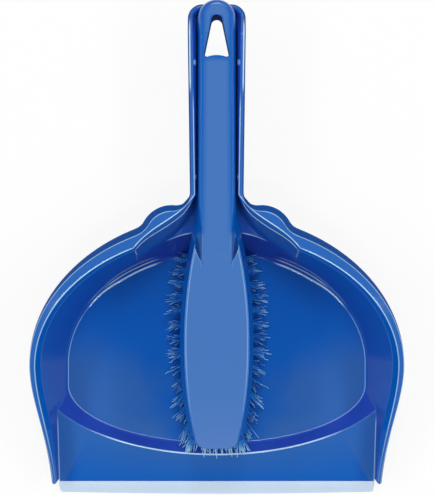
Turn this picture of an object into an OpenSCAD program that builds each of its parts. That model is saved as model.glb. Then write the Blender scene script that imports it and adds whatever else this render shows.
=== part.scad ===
// Hand dustpan with a soft front lip, and a hand brush that nests in its bowl and handle.
// Millimetres. +X is right, +Y runs to the end of the handle, +Z is up, and the pan stands on z = 0.

/* [Bowl] */
// y of the place where the bowl is widest
wide_y = -71; // [-76:0.5:-68]
// Half-width inside the rim at the widest place
rim_hw = 114; // [109:0.1:118]
// Distance from the side of the ramp to the inside of the rim at the front ears
ear_gap = 0.9; // [0.6:0.1:2.6]
// Reach of the rim's back curve behind the widest place
rim_back = 85; // [82:0.5:89]
// Angle round the back curve at which the shoulder starts
notch_angle = 63; // [60:0.5:66]
// Height of the rim at the back of the bowl and along the handle
rim_z = 56; // [53:0.5:58]
// Height of the rim at the front ears
ear_z = 17; // [14:0.5:22]
// Half-width of the flat floor
foot_hw = 98.6; // [94:0.2:101]
// Reach of the floor behind the widest place
foot_back = 74; // [70:0.5:78]
// Straight length of the floor's sides
foot_straight = 14; // [8:0.5:18]
// Reach of the floor's rounded front
foot_front = 38.9; // [34:0.1:40]
// Thickness of the floor
floor_t = 2.2; // [1.8:0.1:3]
// Thickness of the walls
wall_t = 2; // [1.6:0.1:2.4]

/* [Rim] */
// Width of the flat flange at the sides of the bowl
flange_side = 3.4; // [3:0.1:5]
// Width of the flat flange behind the bowl
flange_back = 7.3; // [6:0.1:9]
// Overhang of the skirt at the sides of the bowl
skirt_side = 1; // [0.8:0.1:2]
// Overhang of the skirt behind the bowl
skirt_back = 5.3; // [4:0.1:7]
// Depth of the skirt behind the bowl
skirt_depth = 8; // [6:0.5:10]
// Width of the sloped band under the rim at the sides
band_side = 3.3; // [2:0.1:4]
// Width of the sloped band under the rim behind the bowl
band_back = 1.8; // [1:0.1:2.5]
// Radius of the round knuckle at each shoulder, at the edge of the skirt
knuckle_r = 20.4; // [19:0.1:22]

/* [Ramp] */
// y of the pan's front edge, inside the lip
front_y = -152; // [-155:0.5:-150]
// Half-width of the ramp
ramp_hw = 103.4; // [100:0.1:103.6]
// Height of the ramp at its front edge
ramp_front_z = 2.6; // [2.4:0.1:3.4]
// Rise of the ramp per millimetre of run
ramp_slope = 0.275; // [0.22:0.005:0.3]
// Reach of the ramp's curved crest in front of the widest place
crest_front = 59; // [56:0.5:61]
// Half-width of the ellipse that the crest follows
crest_hw = 118; // [114:0.5:122]
// Distance by which the side walls stop short of the ramp's front edge
ear_short = 4; // [3:0.5:6]

/* [Pan handle] */
// y of the outer end of the pan's handle
end_y = 158; // [152:0.5:160]
// Half-width inside the handle's rim where it leaves the bowl
root_hw = 13.7; // [13.5:0.1:15]
// Half-width inside the handle's rim at its end
end_hw = 15.2; // [14.8:0.1:17]
// Height of the channel floor that the brush handle lies on
channel_z = 38; // [36:0.5:40]
// Width of the handle's rim
bead_w = 2.7; // [2.5:0.1:3.2]
// Drop of the rim at the end of the handle, under the nose of the brush
end_dip = 10; // [8:0.5:12]
// Radius of the handle's end corners, inside the rim
end_r = 6; // [4:0.5:8]

/* [Lip] */
// Distance from each side of the ramp to the end of the lip
lip_gap = 0.1; // [0:0.1:2]
// Reach of the lip in front of the pan's edge, at its middle
lip_reach = 5; // [4:0.5:8]
// Amount by which the lip's front edge draws back at its ends
lip_bow = 1.2; // [0.6:0.1:2]
// Overlap of the lip on the pan's front edge
lip_grip = 3.8; // [3:0.1:5]
// Thickness of the lip above the pan's front edge
lip_top = 0.9; // [0.7:0.1:1.4]

/* [Brush] */
// Length of the brush stock
brush_len = 280; // [273:0.5:283]
// y of the nose of the brush handle
nose_y = 160; // [159:0.5:161]
// Half-width of the brush handle at its base
stock_hw = 12.4; // [11.6:0.1:12.6]
// Half-width of the flat crown of the brush handle
crown_hw = 8; // [6.5:0.1:9]
// Height of the crown above the channel floor
crown_h = 22; // [20:0.5:24]
// Half-width of the top of the head at its widest
head_hw = 20; // [18:0.1:22]
// Half-width of the top of the head at its front, before the corners
head_front_hw = 12.1; // [10:0.1:14]
// y of the widest place of the head
head_wide_y = -52; // [-58:0.5:-46]
// Rise of the head's top above the crown
head_rise = 1; // [0.5:0.1:2]
// Depth of the head
head_d = 18; // [17:0.5:19]
// Wall of the hollow brush handle
stock_wall = 2.6; // [2:0.1:3.2]
// Clearance between the brush and the pan
play = 0.3; // [0.2:0.05:0.5]

/* [Hang hole] */
// y of the wide edge of the hole
hole_y = 122.8; // [120:0.2:125]
// Length of the hole
hole_len = 26; // [23:0.5:26.5]
// Half-width of the hole at its wide edge
hole_hw = 7.8; // [6:0.1:8.4]
// Radius of the hole's round top
hole_r = 3.5; // [3:0.1:4.5]

/* [Bristles] */
// Spacing of the tufts along a row
tuft_pitch = 8.1; // [7.5:0.1:9]
// Radius of the ring of strands in a tuft
tuft_r = 1.7; // [1.5:0.05:1.8]
// Strands in a tuft
tuft_strands = 6; // [5:1:6]
// Radius of a strand at its root
strand_r = 0.5; // [0.35:0.05:0.55]
// Sideways flare of the bristles, as a share of a tuft's place
splay_x = 0.95; // [0.7:0.05:1.05]
// Forward flare of the bristles at the front of the head
splay_front = 23; // [18:0.5:25]
// Depth of the tuft holes
hole_depth = 6; // [5:0.5:8]
// Gap between the bristle tips and the pan
tip_gap = 0.6; // [0.4:0.1:1.5]

/* [Hidden] */
$fn = 48;
blue = "#2f63b4";
bristle_blue = "#2a58a8";
lip_blue = "#a9cbee";
steel = "#b8bcc0";

// Columns of the pan's skin in each stretch of its half outline, from the front to the handle's end
n_front = 10;
n_flank = 18;
n_back = 20;
n_shoulder = 24;
n_grip = 12;
n_end = 10;

// The pan is formed as a closed tub whose front reaches past the lip, and the front is then cut off
tub_y = front_y - 8;
ear_hw = ramp_hw + ear_gap;
lip_hw = ramp_hw - lip_gap;
flank_exponent = 1.3;
rim_top_y = 10;
dip_start_y = end_y - 20;
dip_len = 13;
ear_y = front_y + ear_short;
ear_r = 2.2;
bead_out = 0.35;
bead_depth = 2.6;
band_drop = 1.5;
band_root = 0.6;
knuckle = [28, 11.4];
knuckle_start = 30;
flange_knuckle_r = knuckle_r - 4.2;
skirt_fillet = 8;
flange_fillet = 12;
flange_ear = flange_side / 2;
notch_pull = 0.4;
notch_share = 0.25;
knuckle_share = 0.7;
corner_share = 0.7;
rim_pulls = [[40, 20], [24, 22]];
pocket_pulls = [[36, 10, channel_z - 2], [14.5, 16, channel_z]];
throat_pulls = [[38, 7, channel_z - 7], [26, 13.5, channel_z - 2]];
throat_y = 14.4;
rim_root_y = 38;
crest_end_angle = -29;
crest_share = 0.65;

function lerp(a, b, t) = a + (b - a) * t;
function clamp01(t) = min(1, max(0, t));
function ease(t) = let (c = clamp01(t)) c * c * (3 - 2 * c);
function bezier(p, t) =
    let (s = 1 - t)
    s * s * s * p[0] + 3 * s * s * t * p[1] + 3 * s * t * t * p[2] + t * t * t * p[3];
function steps(n) = [for (i = [0 : n - 1]) i / n];
function arc(c, r, a) = c + r * [cos(a), sin(a)];
function at_z(p, z) = [p.x, p.y, z];
function share(i, i0, i1) = (i - i0) / (i1 - i0);

// Heights of the pan: its rim, its skirt's depth and its ramp
function rim_height(y) =
    let (u = clamp01((y - ear_y) / (rim_top_y - ear_y)))
    lerp(ear_z, rim_z, 1 - (1 - u) * (1 - u)) - end_dip * ease((y - dip_start_y) / dip_len);
function skirt_drop(y) =
    lerp(lerp(skirt_depth / 2, skirt_depth, ease((y - ear_y) / (wide_y - ear_y))), bead_depth,
        ease((y - knuckle.y - skirt_fillet) / (2 * skirt_fillet)));
function ramp_z(y) = ramp_front_z + ramp_slope * (y - front_y);

// Half outline of the rim's edges, stretch by stretch
function flank(front_hw, side_hw, t) =
    [lerp(front_hw, side_hw, ease(pow(t, flank_exponent))), lerp(tub_y, wide_y, t)];
function back(side_hw, reach, t) =
    [side_hw * cos(notch_angle * t), wide_y + reach * sin(notch_angle * t)];
function fillet_centre(r, fillet, hw) =
    [hw + fillet, knuckle.y + sqrt(pow(r + fillet, 2) - pow(hw + fillet - knuckle.x, 2))];
function notch_blend(side_hw, reach, r) =
    let (p0 = back(side_hw, reach, 1))
    let (p3 = arc(knuckle, r, knuckle_start))
    let (run = norm(p3 - p0) * notch_pull)
    let (along = [-side_hw * sin(notch_angle), reach * cos(notch_angle)])
    [p0, p0 + along * run / norm(along), p3 - run * [-sin(knuckle_start), cos(knuckle_start)], p3];
function knuckle_side(side_hw, reach, r, fillet, hw, t) =
    let (c = fillet_centre(r, fillet, hw))
    let (top = atan2(c.y - knuckle.y, c.x - knuckle.x))
    t < notch_share ? bezier(notch_blend(side_hw, reach, r), share(t, 0, notch_share))
    : t < knuckle_share ? arc(knuckle, r, lerp(knuckle_start, top, share(t, notch_share, knuckle_share)))
    : arc(c, fillet, lerp(top + 180, 180, share(t, knuckle_share, 1)));
function grip(hw0, hw1, y0, y1, t) =
    let (u = 1 - (1 - t) * (1 - t))
    [lerp(hw0, hw1, u), lerp(y0, y1, u)];
function grip_end(hw, y, r, t) =
    t < corner_share
        ? arc([hw - r, y - r], r, 90 * t / corner_share)
        : [lerp(hw - r, 0, share(t, corner_share, 1)), y];
function edge_outline(front_hw, side_hw, reach, r, fillet, out) =
    let (c = fillet_centre(r, fillet, root_hw + out))
    let (tip = end_y - bead_w - bead_out + out)
    concat(
        [for (t = steps(n_front)) [front_hw * t, tub_y - out]],
        [for (t = steps(n_flank)) flank(front_hw, side_hw, t)],
        [for (t = steps(n_back)) back(side_hw, reach, t)],
        [for (t = steps(n_shoulder)) knuckle_side(side_hw, reach, r, fillet, root_hw + out, t)],
        [for (t = steps(n_grip)) grip(root_hw + out, end_hw + out, c.y, tip - end_r - out, t)],
        [for (t = [0 : 1 / n_end : 1]) grip_end(end_hw + out, tip, end_r + out, t)]);

rim_end_y = end_y - bead_w - bead_out;
rim_outline =
    let (notch = back(rim_hw, rim_back, 1))
    let (root = [root_hw, rim_root_y])
    concat(
        [for (t = steps(n_front)) [ear_hw * t, tub_y]],
        [for (t = steps(n_flank)) flank(ear_hw, rim_hw, t)],
        [for (t = steps(n_back)) back(rim_hw, rim_back, t)],
        [for (t = steps(n_shoulder)) bezier([notch, rim_pulls[0], rim_pulls[1], root], t)],
        [for (t = steps(n_grip)) grip(root_hw, end_hw, rim_root_y, rim_end_y - end_r, t)],
        [for (t = [0 : 1 / n_end : 1]) grip_end(end_hw, rim_end_y, end_r, t)]);
flange_outline = edge_outline(ear_hw + flange_ear, rim_hw + flange_side,
    rim_back + flange_back, flange_knuckle_r, flange_fillet, bead_w);
skirt_outline = edge_outline(ear_hw + flange_ear + skirt_side, rim_hw + flange_side + skirt_side,
    rim_back + flange_back + skirt_back, knuckle_r, skirt_fillet, bead_w + bead_out);

// Column indices at which each stretch ends
i_front = n_front;
i_crest = n_front + round(n_flank * crest_share);
i_flank = n_front + n_flank;
i_back = i_flank + n_back;
i_shoulder = i_back + n_shoulder;
i_grip = i_shoulder + n_grip;
i_last = i_grip + n_end;

// Foot of the walls, round the flat floor
function foot_angle(i) = lookup(i, [[0, -90], [i_front, -35], [i_crest, -8], [i_flank, 0], [i_back, 58],
    [i_shoulder, 80], [i_last, 90]]);
foot_ring = [for (i = [0 : i_last])
    let (a = foot_angle(i))
    i < i_flank ? [foot_hw * cos(a), wide_y - foot_straight + foot_front * sin(a), floor_t]
    : [foot_hw * cos(a), wide_y + foot_back * sin(a), floor_t]];

// Plan direction that points out of a half outline
function outward(ring, i) =
    let (a = i == 0 ? [-ring[1].x, ring[1].y] : [ring[i - 1].x, ring[i - 1].y])
    let (b = i == i_last ? [-ring[i - 1].x, ring[i - 1].y] : [ring[i + 1].x, ring[i + 1].y])
    let (t = b - a)
    [t.y, -t.x] / norm(t);
function shifted(ring, out, drop) = [for (i = [0 : i_last])
    let (o = is_list(out) ? out[i] : out)
    let (d = is_list(drop) ? drop[i] : drop)
    let (n = outward(ring, i))
    ring[i] + [n.x * o, n.y * o, -d]];

rim_ring = [for (p = rim_outline) at_z(p, rim_height(p.y))];
flange_ring = [for (p = flange_outline) at_z(p, rim_height(p.y))];
skirt_ring = [for (p = skirt_outline) at_z(p, rim_height(p.y) - skirt_drop(p.y))];
band = [for (i = [0 : i_last])
    i < i_flank ? lerp(band_root, band_side, ease(share(i, i_front, i_crest)))
    : i < i_back ? lerp(band_side, band_back, share(i, i_flank, i_back))
    : i < i_shoulder ? lerp(band_back, band_root, share(i, i_back, i_shoulder)) : band_root];
band_ring = shifted(rim_ring, [for (b = band) -b], [for (b = band) b * band_drop]);

// Point part of the way up the wall, between its foot and the band under the rim
function on_wall(i, climb) = lerp(foot_ring[i], band_ring[i], climb);

// Edge where the walls meet the ramp, the shoulder pocket and the channel floor
crest_y = wide_y + crest_front * sin(crest_end_angle);
junction_climb = [0.49, 0.64];
pocket_start = on_wall(i_back, junction_climb[1]);
channel_root_hw = root_hw - 0.4;
channel_end_hw = end_hw - 0.6;
channel_end_y = rim_end_y - 0.6;
junction_ring = [for (i = [0 : i_last])
    i < i_front ? [ramp_hw * share(i, 0, i_front), tub_y, ramp_z(tub_y)]
    : i <= i_crest ? let (y = lerp(tub_y, crest_y, share(i, i_front, i_crest))) [ramp_hw, y, ramp_z(y)]
    : i < i_back ? on_wall(i, lerp(junction_climb[0], junction_climb[1], share(i, i_crest, i_back)))
    : i < i_shoulder
        ? bezier([pocket_start, pocket_pulls[0], pocket_pulls[1], [channel_root_hw, rim_root_y, channel_z]],
            share(i, i_back, i_shoulder))
    : i < i_grip
        ? at_z(grip(channel_root_hw, channel_end_hw, rim_root_y, channel_end_y - end_r,
            share(i, i_shoulder, i_grip)), channel_z)
    : at_z(grip_end(channel_end_hw, channel_end_y, end_r, share(i, i_grip, i_last)), channel_z)];

// Crest of the step in the ramp, which runs up the walls to the edge of the channel floor
crest_climb = [0.44, 0.52];
crest_inset = 0.8;
throat_start = on_wall(i_back, crest_climb[1]);
throat_end = [root_hw - 0.7, throat_y, channel_z];
throat_bow = 0.6;
crest_ring = [for (i = [0 : i_last])
    i <= i_crest
        ? let (a = lerp(-90, crest_end_angle, (foot_angle(i) + 90) / (foot_angle(i_crest) + 90)))
          let (y = wide_y + crest_front * sin(a))
          [min(crest_hw * cos(a), ramp_hw - crest_inset), y, ramp_z(y)]
    : i < i_back ? on_wall(i, lerp(crest_climb[0], crest_climb[1], share(i, i_crest, i_back)))
    : i < i_shoulder
        ? bezier([throat_start, throat_pulls[0], throat_pulls[1], throat_end], share(i, i_back, i_shoulder))
    : let (u = share(i, i_shoulder, i_last)) [throat_end.x * (1 - u), throat_y + throat_bow * u, channel_z]];

// Under side of the skin, about one wall thickness away: each ring goes out and down by shares of it
skirt_t = wall_t * 0.9;
bead_t = 0.3;
flange_tuck = wall_t * 0.4;
rim_step = [0.2, 0.3];
band_lift = [1, 0.4];
junction_lift = [0.95, 0.95];
crest_lift = [0.85, 0.75];
foot_lift = 0.5;
flange_w = [for (i = [0 : i_last]) norm(flange_ring[i] - rim_ring[i])];
skirt_under = shifted(skirt_ring, [for (w = flange_w) -min(skirt_t, bead_t + max(0, w - bead_w))], 0);
flange_under = shifted(rim_ring, [for (w = flange_w) max(w - flange_tuck, wall_t + rim_step[0])], wall_t);
rim_under = shifted(rim_ring, wall_t, wall_t + rim_step[1]);
band_under = shifted(band_ring, wall_t * band_lift[0], wall_t * band_lift[1]);
junction_under = shifted(junction_ring, wall_t * junction_lift[0], wall_t * junction_lift[1]);
crest_under = shifted(crest_ring, wall_t * crest_lift[0], wall_t * crest_lift[1]);
foot_under = shifted(foot_ring, wall_t * foot_lift, floor_t);

// Closed loop made from a half outline and its mirror image
function loop(half) =
    concat(half, [for (i = [len(half) - 2 : -1 : 1]) [-half[i].x, half[i].y, half[i].z]]);

// Skin over a row of closed loops, capped at both ends
module skin(loops) {
    m = len(loops[0]);
    points = [for (l = loops) each l];
    sides = [for (r = [0 : len(loops) - 2], k = [0 : m - 1])
        let (a = r * m + k)
        let (b = r * m + (k + 1) % m)
        each [[a, b, b + m], [a, b + m, a + m]]];
    first_cap = [for (k = [m - 1 : -1 : 0]) k];
    last_cap = [for (k = [0 : m - 1]) (len(loops) - 1) * m + k];
    polyhedron(points, concat([first_cap], sides, [last_cap]));
}

module pan_tub() {
    top_side = [foot_ring, crest_ring, junction_ring, band_ring, rim_ring, flange_ring, skirt_ring];
    under_side = [skirt_under, flange_under, rim_under, band_under, junction_under, crest_under, foot_under];
    skin([for (half = concat(top_side, under_side)) loop(half)]);
}

// Plan of what is cut off in front of the ramp and round the ears
overcut = 5;
ear_x = ear_hw + ear_r * 0.6;
module front_waste() {
    waste_hw = rim_hw + flange_side + skirt_side + overcut;
    waste_y = tub_y - bead_w - bead_out - overcut;
    difference() {
        translate([-waste_hw, waste_y])
            square([2 * waste_hw, ear_y + ear_r - waste_y]);
        translate([-ramp_hw, front_y])
            square([2 * ramp_hw, ear_short + ear_r + overcut]);
        for (side = [-1, 1])
            translate([side * ear_x, ear_y + ear_r])
                circle(ear_r);
    }
}

hole_relief = 0.4;
module hole_plan(grow) {
    corner = 2;
    hull() {
        for (side = [-1, 1])
            translate([side * (hole_hw - corner), hole_y + corner])
                circle(corner + grow, $fn = 24);
        translate([0, hole_y + hole_len - hole_r])
            circle(hole_r + grow, $fn = 32);
    }
}

// Under side of the ramp's front edge is thinned to a tongue for the lip
tongue_t = 1.2;
tongue_y = front_y + lip_grip;
tongue_hw = ramp_hw + 0.2;
module tongue_waste() {
    rotate([90, 0, 90])
        linear_extrude(2 * tongue_hw, center = true)
            polygon([[tub_y, ramp_z(tub_y) - tongue_t], [tongue_y, ramp_z(tongue_y) - tongue_t],
                [tongue_y, -overcut], [tub_y, -overcut]]);
}

// Small cones on the channel walls that the brush handle snaps past
nub_z = rim_z - 4.5;
nub_ys = [49, 120];
nub_r = [2.3, 1.5];
nub_root = wall_t * 0.6;
nub_tip_x = stock_hw + play;
module nubs() {
    for (y = nub_ys, side = [0, 1]) {
        wall_x = lerp(root_hw, end_hw, share(y, rim_root_y, rim_end_y - end_r)) + nub_root;
        mirror([side, 0, 0])
            translate([wall_x, y, nub_z])
                rotate([0, -90, 0])
                    cylinder(h = wall_x - nub_tip_x, r1 = nub_r[0], r2 = nub_r[1]);
    }
}

module dustpan() {
    color(blue)
        difference() {
            union() {
                pan_tub();
                nubs();
            }
            translate([0, 0, -overcut])
                linear_extrude(rim_z + 2 * overcut)
                    front_waste();
            tongue_waste();
            translate([0, 0, channel_z - wall_t - overcut])
                linear_extrude(wall_t + 2 * overcut)
                    hole_plan(hole_relief);
        }
}

module soft_lip() {
    fit = 0.05;
    front = front_y - lip_reach;
    bottom = 0.2;
    tip_t = 0.9;
    slot_y = front_y - fit;
    back_y = tongue_y - 2 * fit;
    lip_corner = 2;
    corner = [lip_hw - lip_corner, front + lip_bow + lip_corner];
    color(lip_blue)
        intersection() {
            rotate([90, 0, 90])
                linear_extrude(2 * lip_hw, center = true)
                    polygon([[front, bottom], [back_y, bottom], [back_y, ramp_z(back_y) - tongue_t - fit],
                        [slot_y, ramp_z(slot_y) - tongue_t - fit], [slot_y, ramp_z(slot_y) + fit],
                        [tongue_y, ramp_z(tongue_y) + fit], [tongue_y, ramp_z(tongue_y) + lip_top],
                        [slot_y, ramp_z(slot_y) + lip_top], [front, bottom + tip_t]]);
            linear_extrude(ramp_z(tongue_y) + overcut)
                polygon(concat(
                    [for (a = [180 : 15 : 270]) arc([-corner.x, corner.y], lip_corner, a)],
                    [for (u = [-0.9 : 0.1 : 0.9]) [u * corner.x, front + lip_bow * u * u]],
                    [for (a = [270 : 15 : 360]) arc(corner, lip_corner, a)],
                    [[lip_hw, tongue_y + overcut], [-lip_hw, tongue_y + overcut]]));
        }
}

// Brush stock: one loft from the nose of the domed handle to the front of the flat-topped head.
// Behind the head its two edges run out into the sides of the handle as pointed fangs.
stock_z = channel_z + play;
crown_z = channel_z + crown_h;
head_top = crown_z + head_rise;
head_z = head_top - head_d;
head_end_y = nose_y - brush_len;
nose_lift_y = rim_end_y - 2;
nose_z = rim_z - end_dip + 1;
nose_r = stock_hw;
nose_c = nose_y - nose_r;
crown_growth = 1;
crown_share = 0.7;
flare_y = 36;
flare_exponent = 1.3;
fang_y = 5.4;
fang_hw = 14;
fang_fall = 1.5;
fang_exponent = 2;
ridge_y = 17;
ridge_w = 0.6;
valley_y = -4.8;
valley_draft = 0.8;
valley_rate = 2.5;
head_level_y = -20;
head_side = 3.2;
head_corner = 8;
head_back_exponent = 2;
head_front_exponent = 2.25;
head_edge = [1, 0.5];
head_climb = [[0.4, 0.38], [0.8, 0.75]];

// Half section of the handle at one y, as [x, z] from its base to the edge of its crown.
// Its sides are round along the grip and straight where they flare out to the head.
dome_angles = [90, 76, 62, 50, 46, 42, 28, 14, 0];
function crown_at(y) = crown_hw + crown_growth * ease(share(y, nose_y, fang_y));
function stock_base(y) = lerp(stock_z, head_z, ease(share(y, flare_y, fang_y)));
function stock_side(y) =
    lerp(stock_hw, head_base_hw(fang_y), pow(clamp01(share(y, flare_y, fang_y)), flare_exponent));
function nose_taper(y) = sqrt(1 - pow(max(0, y - nose_c) / nose_r, 2));
function dome(y, inset) =
    let (bow = 1 + ease(share(y, flare_y, fang_y)))
    let (crown = crown_at(y) * nose_taper(y) - inset)
    let (side = stock_side(y) * nose_taper(y) - inset)
    let (base = stock_base(y) - inset)
    [for (a = dome_angles)
        [crown + (side - crown) * pow(sin(a), bow), lerp(base, crown_z - inset, pow(cos(a), bow))]];

// Half section of the head. Behind, its flat top ends in two fangs, each parted from the crown by a valley,
// and the ridge of each fang runs on down the flare of the handle.
function head_top_hw(y) =
    y > head_wide_y
        ? lerp(head_hw, fang_hw, pow(share(y, head_wide_y, fang_y), head_back_exponent))
        : lerp(head_hw, head_front_hw, pow(share(y, head_wide_y, head_end_y), head_front_exponent))
            - head_corner + sqrt(pow(head_corner, 2) - pow(max(0, head_end_y + head_corner - y), 2));
function head_base_hw(y) = head_top_hw(y) + head_side;
function head_top_z(y) = head_top - fang_fall * pow(max(0, share(y, valley_y, fang_y)), fang_exponent);
fang_share = share(fang_hw, crown_at(fang_y), head_base_hw(fang_y));
function head_half(y) =
    let (top = y > fang_y ? lerp(crown_at(y), stock_side(y), fang_share) : head_top_hw(y))
    let (base = [y > fang_y ? stock_side(y) : head_base_hw(y), stock_base(y)])
    let (z = head_top_z(y))
    let (crown = [y > fang_y ? crown_at(y) : min(crown_at(y), top * crown_share),
        lerp(head_top, crown_z, ease(share(y, head_level_y, fang_y)))])
    let (open = clamp01(share(y, valley_y, fang_y)))
    let (fang_x = max(crown.x + ridge_w, lerp(crown.x, top - ridge_w, open)))
    let (valley_x = lerp(crown.x, fang_x, valley_draft))
    let (side_z = lerp(crown.y, base.y, (valley_x - crown.x) / (base.x - crown.x)))
    let (valley = [valley_x, lerp(z, side_z, clamp01(valley_rate * open))])
    let (edge = min(head_edge[0], (top - fang_x) / 2))
    concat(
        [base],
        [for (c = head_climb) [lerp(base.x, top, c[0]), lerp(base.y, z, c[1])]],
        [[top, z - head_edge[1]], [top - edge, z], [fang_x, z], valley, (valley + crown) / 2, crown]);
function flare_half(y) =
    let (fade = ease(share(y, fang_y, ridge_y)))
    let (fang = head_half(y))
    let (grip = dome(y, 0))
    [for (i = [0 : len(grip) - 1]) lerp(fang[i], grip[i], fade)];

function section(y, half) = concat(
    [for (p = half) [-p[0], y, p[1]]],
    [for (i = [len(half) - 1 : -1 : 0]) [half[i][0], y, half[i][1]]]);
handle_ys = concat(
    [for (a = [80 : -10 : 10]) nose_c + nose_r * sin(a)],
    [for (u = [0 : 0.25 : 0.75]) lerp(nose_c, flare_y, u)],
    [for (u = [0 : 0.125 : 0.875]) lerp(flare_y, fang_y, u)]);
head_ys = concat(
    [for (u = [0 : 0.125 : 0.875]) lerp(fang_y, head_level_y, u)],
    [for (u = [0 : 0.125 : 1]) lerp(head_level_y, head_end_y + head_corner, u)],
    [for (a = [30 : 30 : 90]) head_end_y + head_corner * (1 - sin(a))]);
module stock() {
    skin(concat(
        [for (y = handle_ys) section(y, y > ridge_y ? dome(y, 0) : flare_half(y))],
        [for (y = head_ys) section(y, head_half(y))]));
}

// Undercut that lets the nose pass over the end of the pan's handle
module nose_waste() {
    translate([-stock_hw - overcut, nose_lift_y, channel_z - overcut])
        cube([2 * (stock_hw + overcut), nose_y - nose_lift_y + overcut, nose_z - channel_z + overcut]);
}

// Hollow under the brush handle, with cross ribs left standing
rib_t = 2;
hollow_front_y = 34;
hollow_back_y = hole_y - 5;
hollow_bays = 4;
module handle_hollow() {
    bay = (hollow_back_y - hollow_front_y - (hollow_bays - 1) * rib_t) / hollow_bays;
    for (i = [0 : hollow_bays - 1]) {
        y0 = hollow_front_y + i * (bay + rib_t);
        skin([for (y = [y0 + bay, y0]) section(y, dome(y, stock_wall))]);
    }
}

// Five rows of tufts, given by their place between the middle and the edge of the head
row_edge = 6;
slice_w = 5;
first_tuft_y = -2;
row_front = [6, 8, 10];
slice_fit = 0.05;
function row_x(row, y) = row / 2 * (head_base_hw(y) - row_edge);
function tuft_ys(row) = [for (y = [first_tuft_y : -tuft_pitch : head_end_y + row_front[abs(row)]]) y];
slice_top = head_z + hole_depth;

module slice_plan(row, grow) {
    ys = tuft_ys(row);
    reach = slice_w / 2;
    back = ys[0] + reach;
    front = ys[len(ys) - 1] - reach;
    line = [for (u = [0 : 0.1 : 1]) lerp(back, front, u)];
    polygon(concat(
        [for (y = line) [row_x(row, y) + reach + grow, y + grow * (y == back ? 1 : y == front ? -1 : 0)]],
        [for (i = [len(line) - 1 : -1 : 0])
            let (y = line[i])
            [row_x(row, y) - reach - grow, y + grow * (y == back ? 1 : y == front ? -1 : 0)]]));
}

anchor_w = 3.6;
anchor_t = 0.4;
anchor_h = 2;
anchor_fit = 0.02;
module each_tuft(row) {
    for (y = tuft_ys(row))
        translate([row_x(row, y), y, slice_top])
            children();
}

module anchor(grow) {
    translate([-anchor_w / 2 - grow, -anchor_t / 2 - grow, 0])
        cube([anchor_w + 2 * grow, anchor_t + 2 * grow, anchor_h + grow]);
}

module brush_block() {
    color(blue)
        difference() {
            stock();
            nose_waste();
            handle_hollow();
            translate([0, 0, channel_z - overcut])
                linear_extrude(crown_h + 2 * overcut)
                    hole_plan(0);
            for (row = [-2 : 2]) {
                translate([0, 0, head_z - overcut])
                    linear_extrude(hole_depth + overcut)
                        slice_plan(row, slice_fit);
                each_tuft(row)
                    anchor(anchor_fit);
            }
        }
}

// Height of the pan's floor, step or ramp under a point
function pan_top(x, y) =
    let (foot = wide_y - foot_straight - foot_front * sqrt(1 - pow(x / foot_hw, 2)))
    let (crest = wide_y - crest_front * sqrt(1 - pow(x / crest_hw, 2)))
    y > foot ? floor_t : y < crest ? ramp_z(y) : lerp(floor_t, ramp_z(crest), (foot - y) / (foot - crest));

// A strand leaves its root and flares out more as it goes down, by one rule for all, so none cross
flare_run = head_z - floor_t;
flare_curve = 0.25;
function strand_at(root, z) =
    let (u = max(0, head_z - z) / flare_run)
    let (f = u * lerp(1, u, flare_curve))
    let (front = share(root.y, first_tuft_y, head_end_y))
    [root.x * (1 + splay_x * f), root.y - splay_front * front * front * f, z];

// A strand ends above the pan, also where its tip comes close to the step.
// Each pass halves the way to that height.
tip_room = 1.5;
settle_passes = 16;
function settled(root, z, passes) =
    passes == 0
        ? z
        : let (tip = strand_at(root, z))
            let (under = max(pan_top(tip.x, tip.y), pan_top(tip.x, tip.y - tip_room)))
            settled(root, (z + under + tip_gap) / 2, passes - 1);
function tip_z(root) = settled(root, floor_t + tip_gap, settle_passes);
function strand_ring(root, z, r) = [for (a = [0, 120, 240]) strand_at(root, z) + [r * cos(a), r * sin(a), 0]];
root_sink = 1;
tip_share = 0.7;
module strand(root) {
    tip = tip_z(root);
    middle = (head_z + tip) / 2;
    skin([strand_ring(root, head_z + root_sink, strand_r), strand_ring(root, middle, strand_r),
        strand_ring(root, tip, strand_r * tip_share)]);
}

module bristle_row(row) {
    color(bristle_blue) {
        translate([0, 0, head_z])
            linear_extrude(hole_depth)
                slice_plan(row, 0);
        for (y = tuft_ys(row), k = [0 : tuft_strands - 1])
            strand(arc([row_x(row, y), y], tuft_r, 360 * k / tuft_strands));
    }
}

module bristle_row_left_outer() { bristle_row(-2); }
module bristle_row_left_inner() { bristle_row(-1); }
module bristle_row_centre() { bristle_row(0); }
module bristle_row_right_inner() { bristle_row(1); }
module bristle_row_right_outer() { bristle_row(2); }

module tuft_anchors() {
    color(steel)
        for (row = [-2 : 2])
            each_tuft(row)
                anchor(0);
}

// The whole set is moved to lie with its middle at y = 0
middle_y = (nose_y + front_y - lip_reach) / 2;

translate([0, -middle_y, 0]) {
    dustpan();
    soft_lip();
    brush_block();
    bristle_row_left_outer();
    bristle_row_left_inner();
    bristle_row_centre();
    bristle_row_right_inner();
    bristle_row_right_outer();
    tuft_anchors();
}
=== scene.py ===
# %% [markdown]
# # Hand dustpan with a nested brush
# A glossy blue hand dustpan lies on a white table, and its brush lies in it, seen straight from above.
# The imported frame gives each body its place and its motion. A quick way would be to show its solids, but a
# moulding lives by its soft edges, so each visible piece is built again here in millimetres, from the same
# sizes, with the small radii that catch the light. Each piece then rides on its body.

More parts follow.
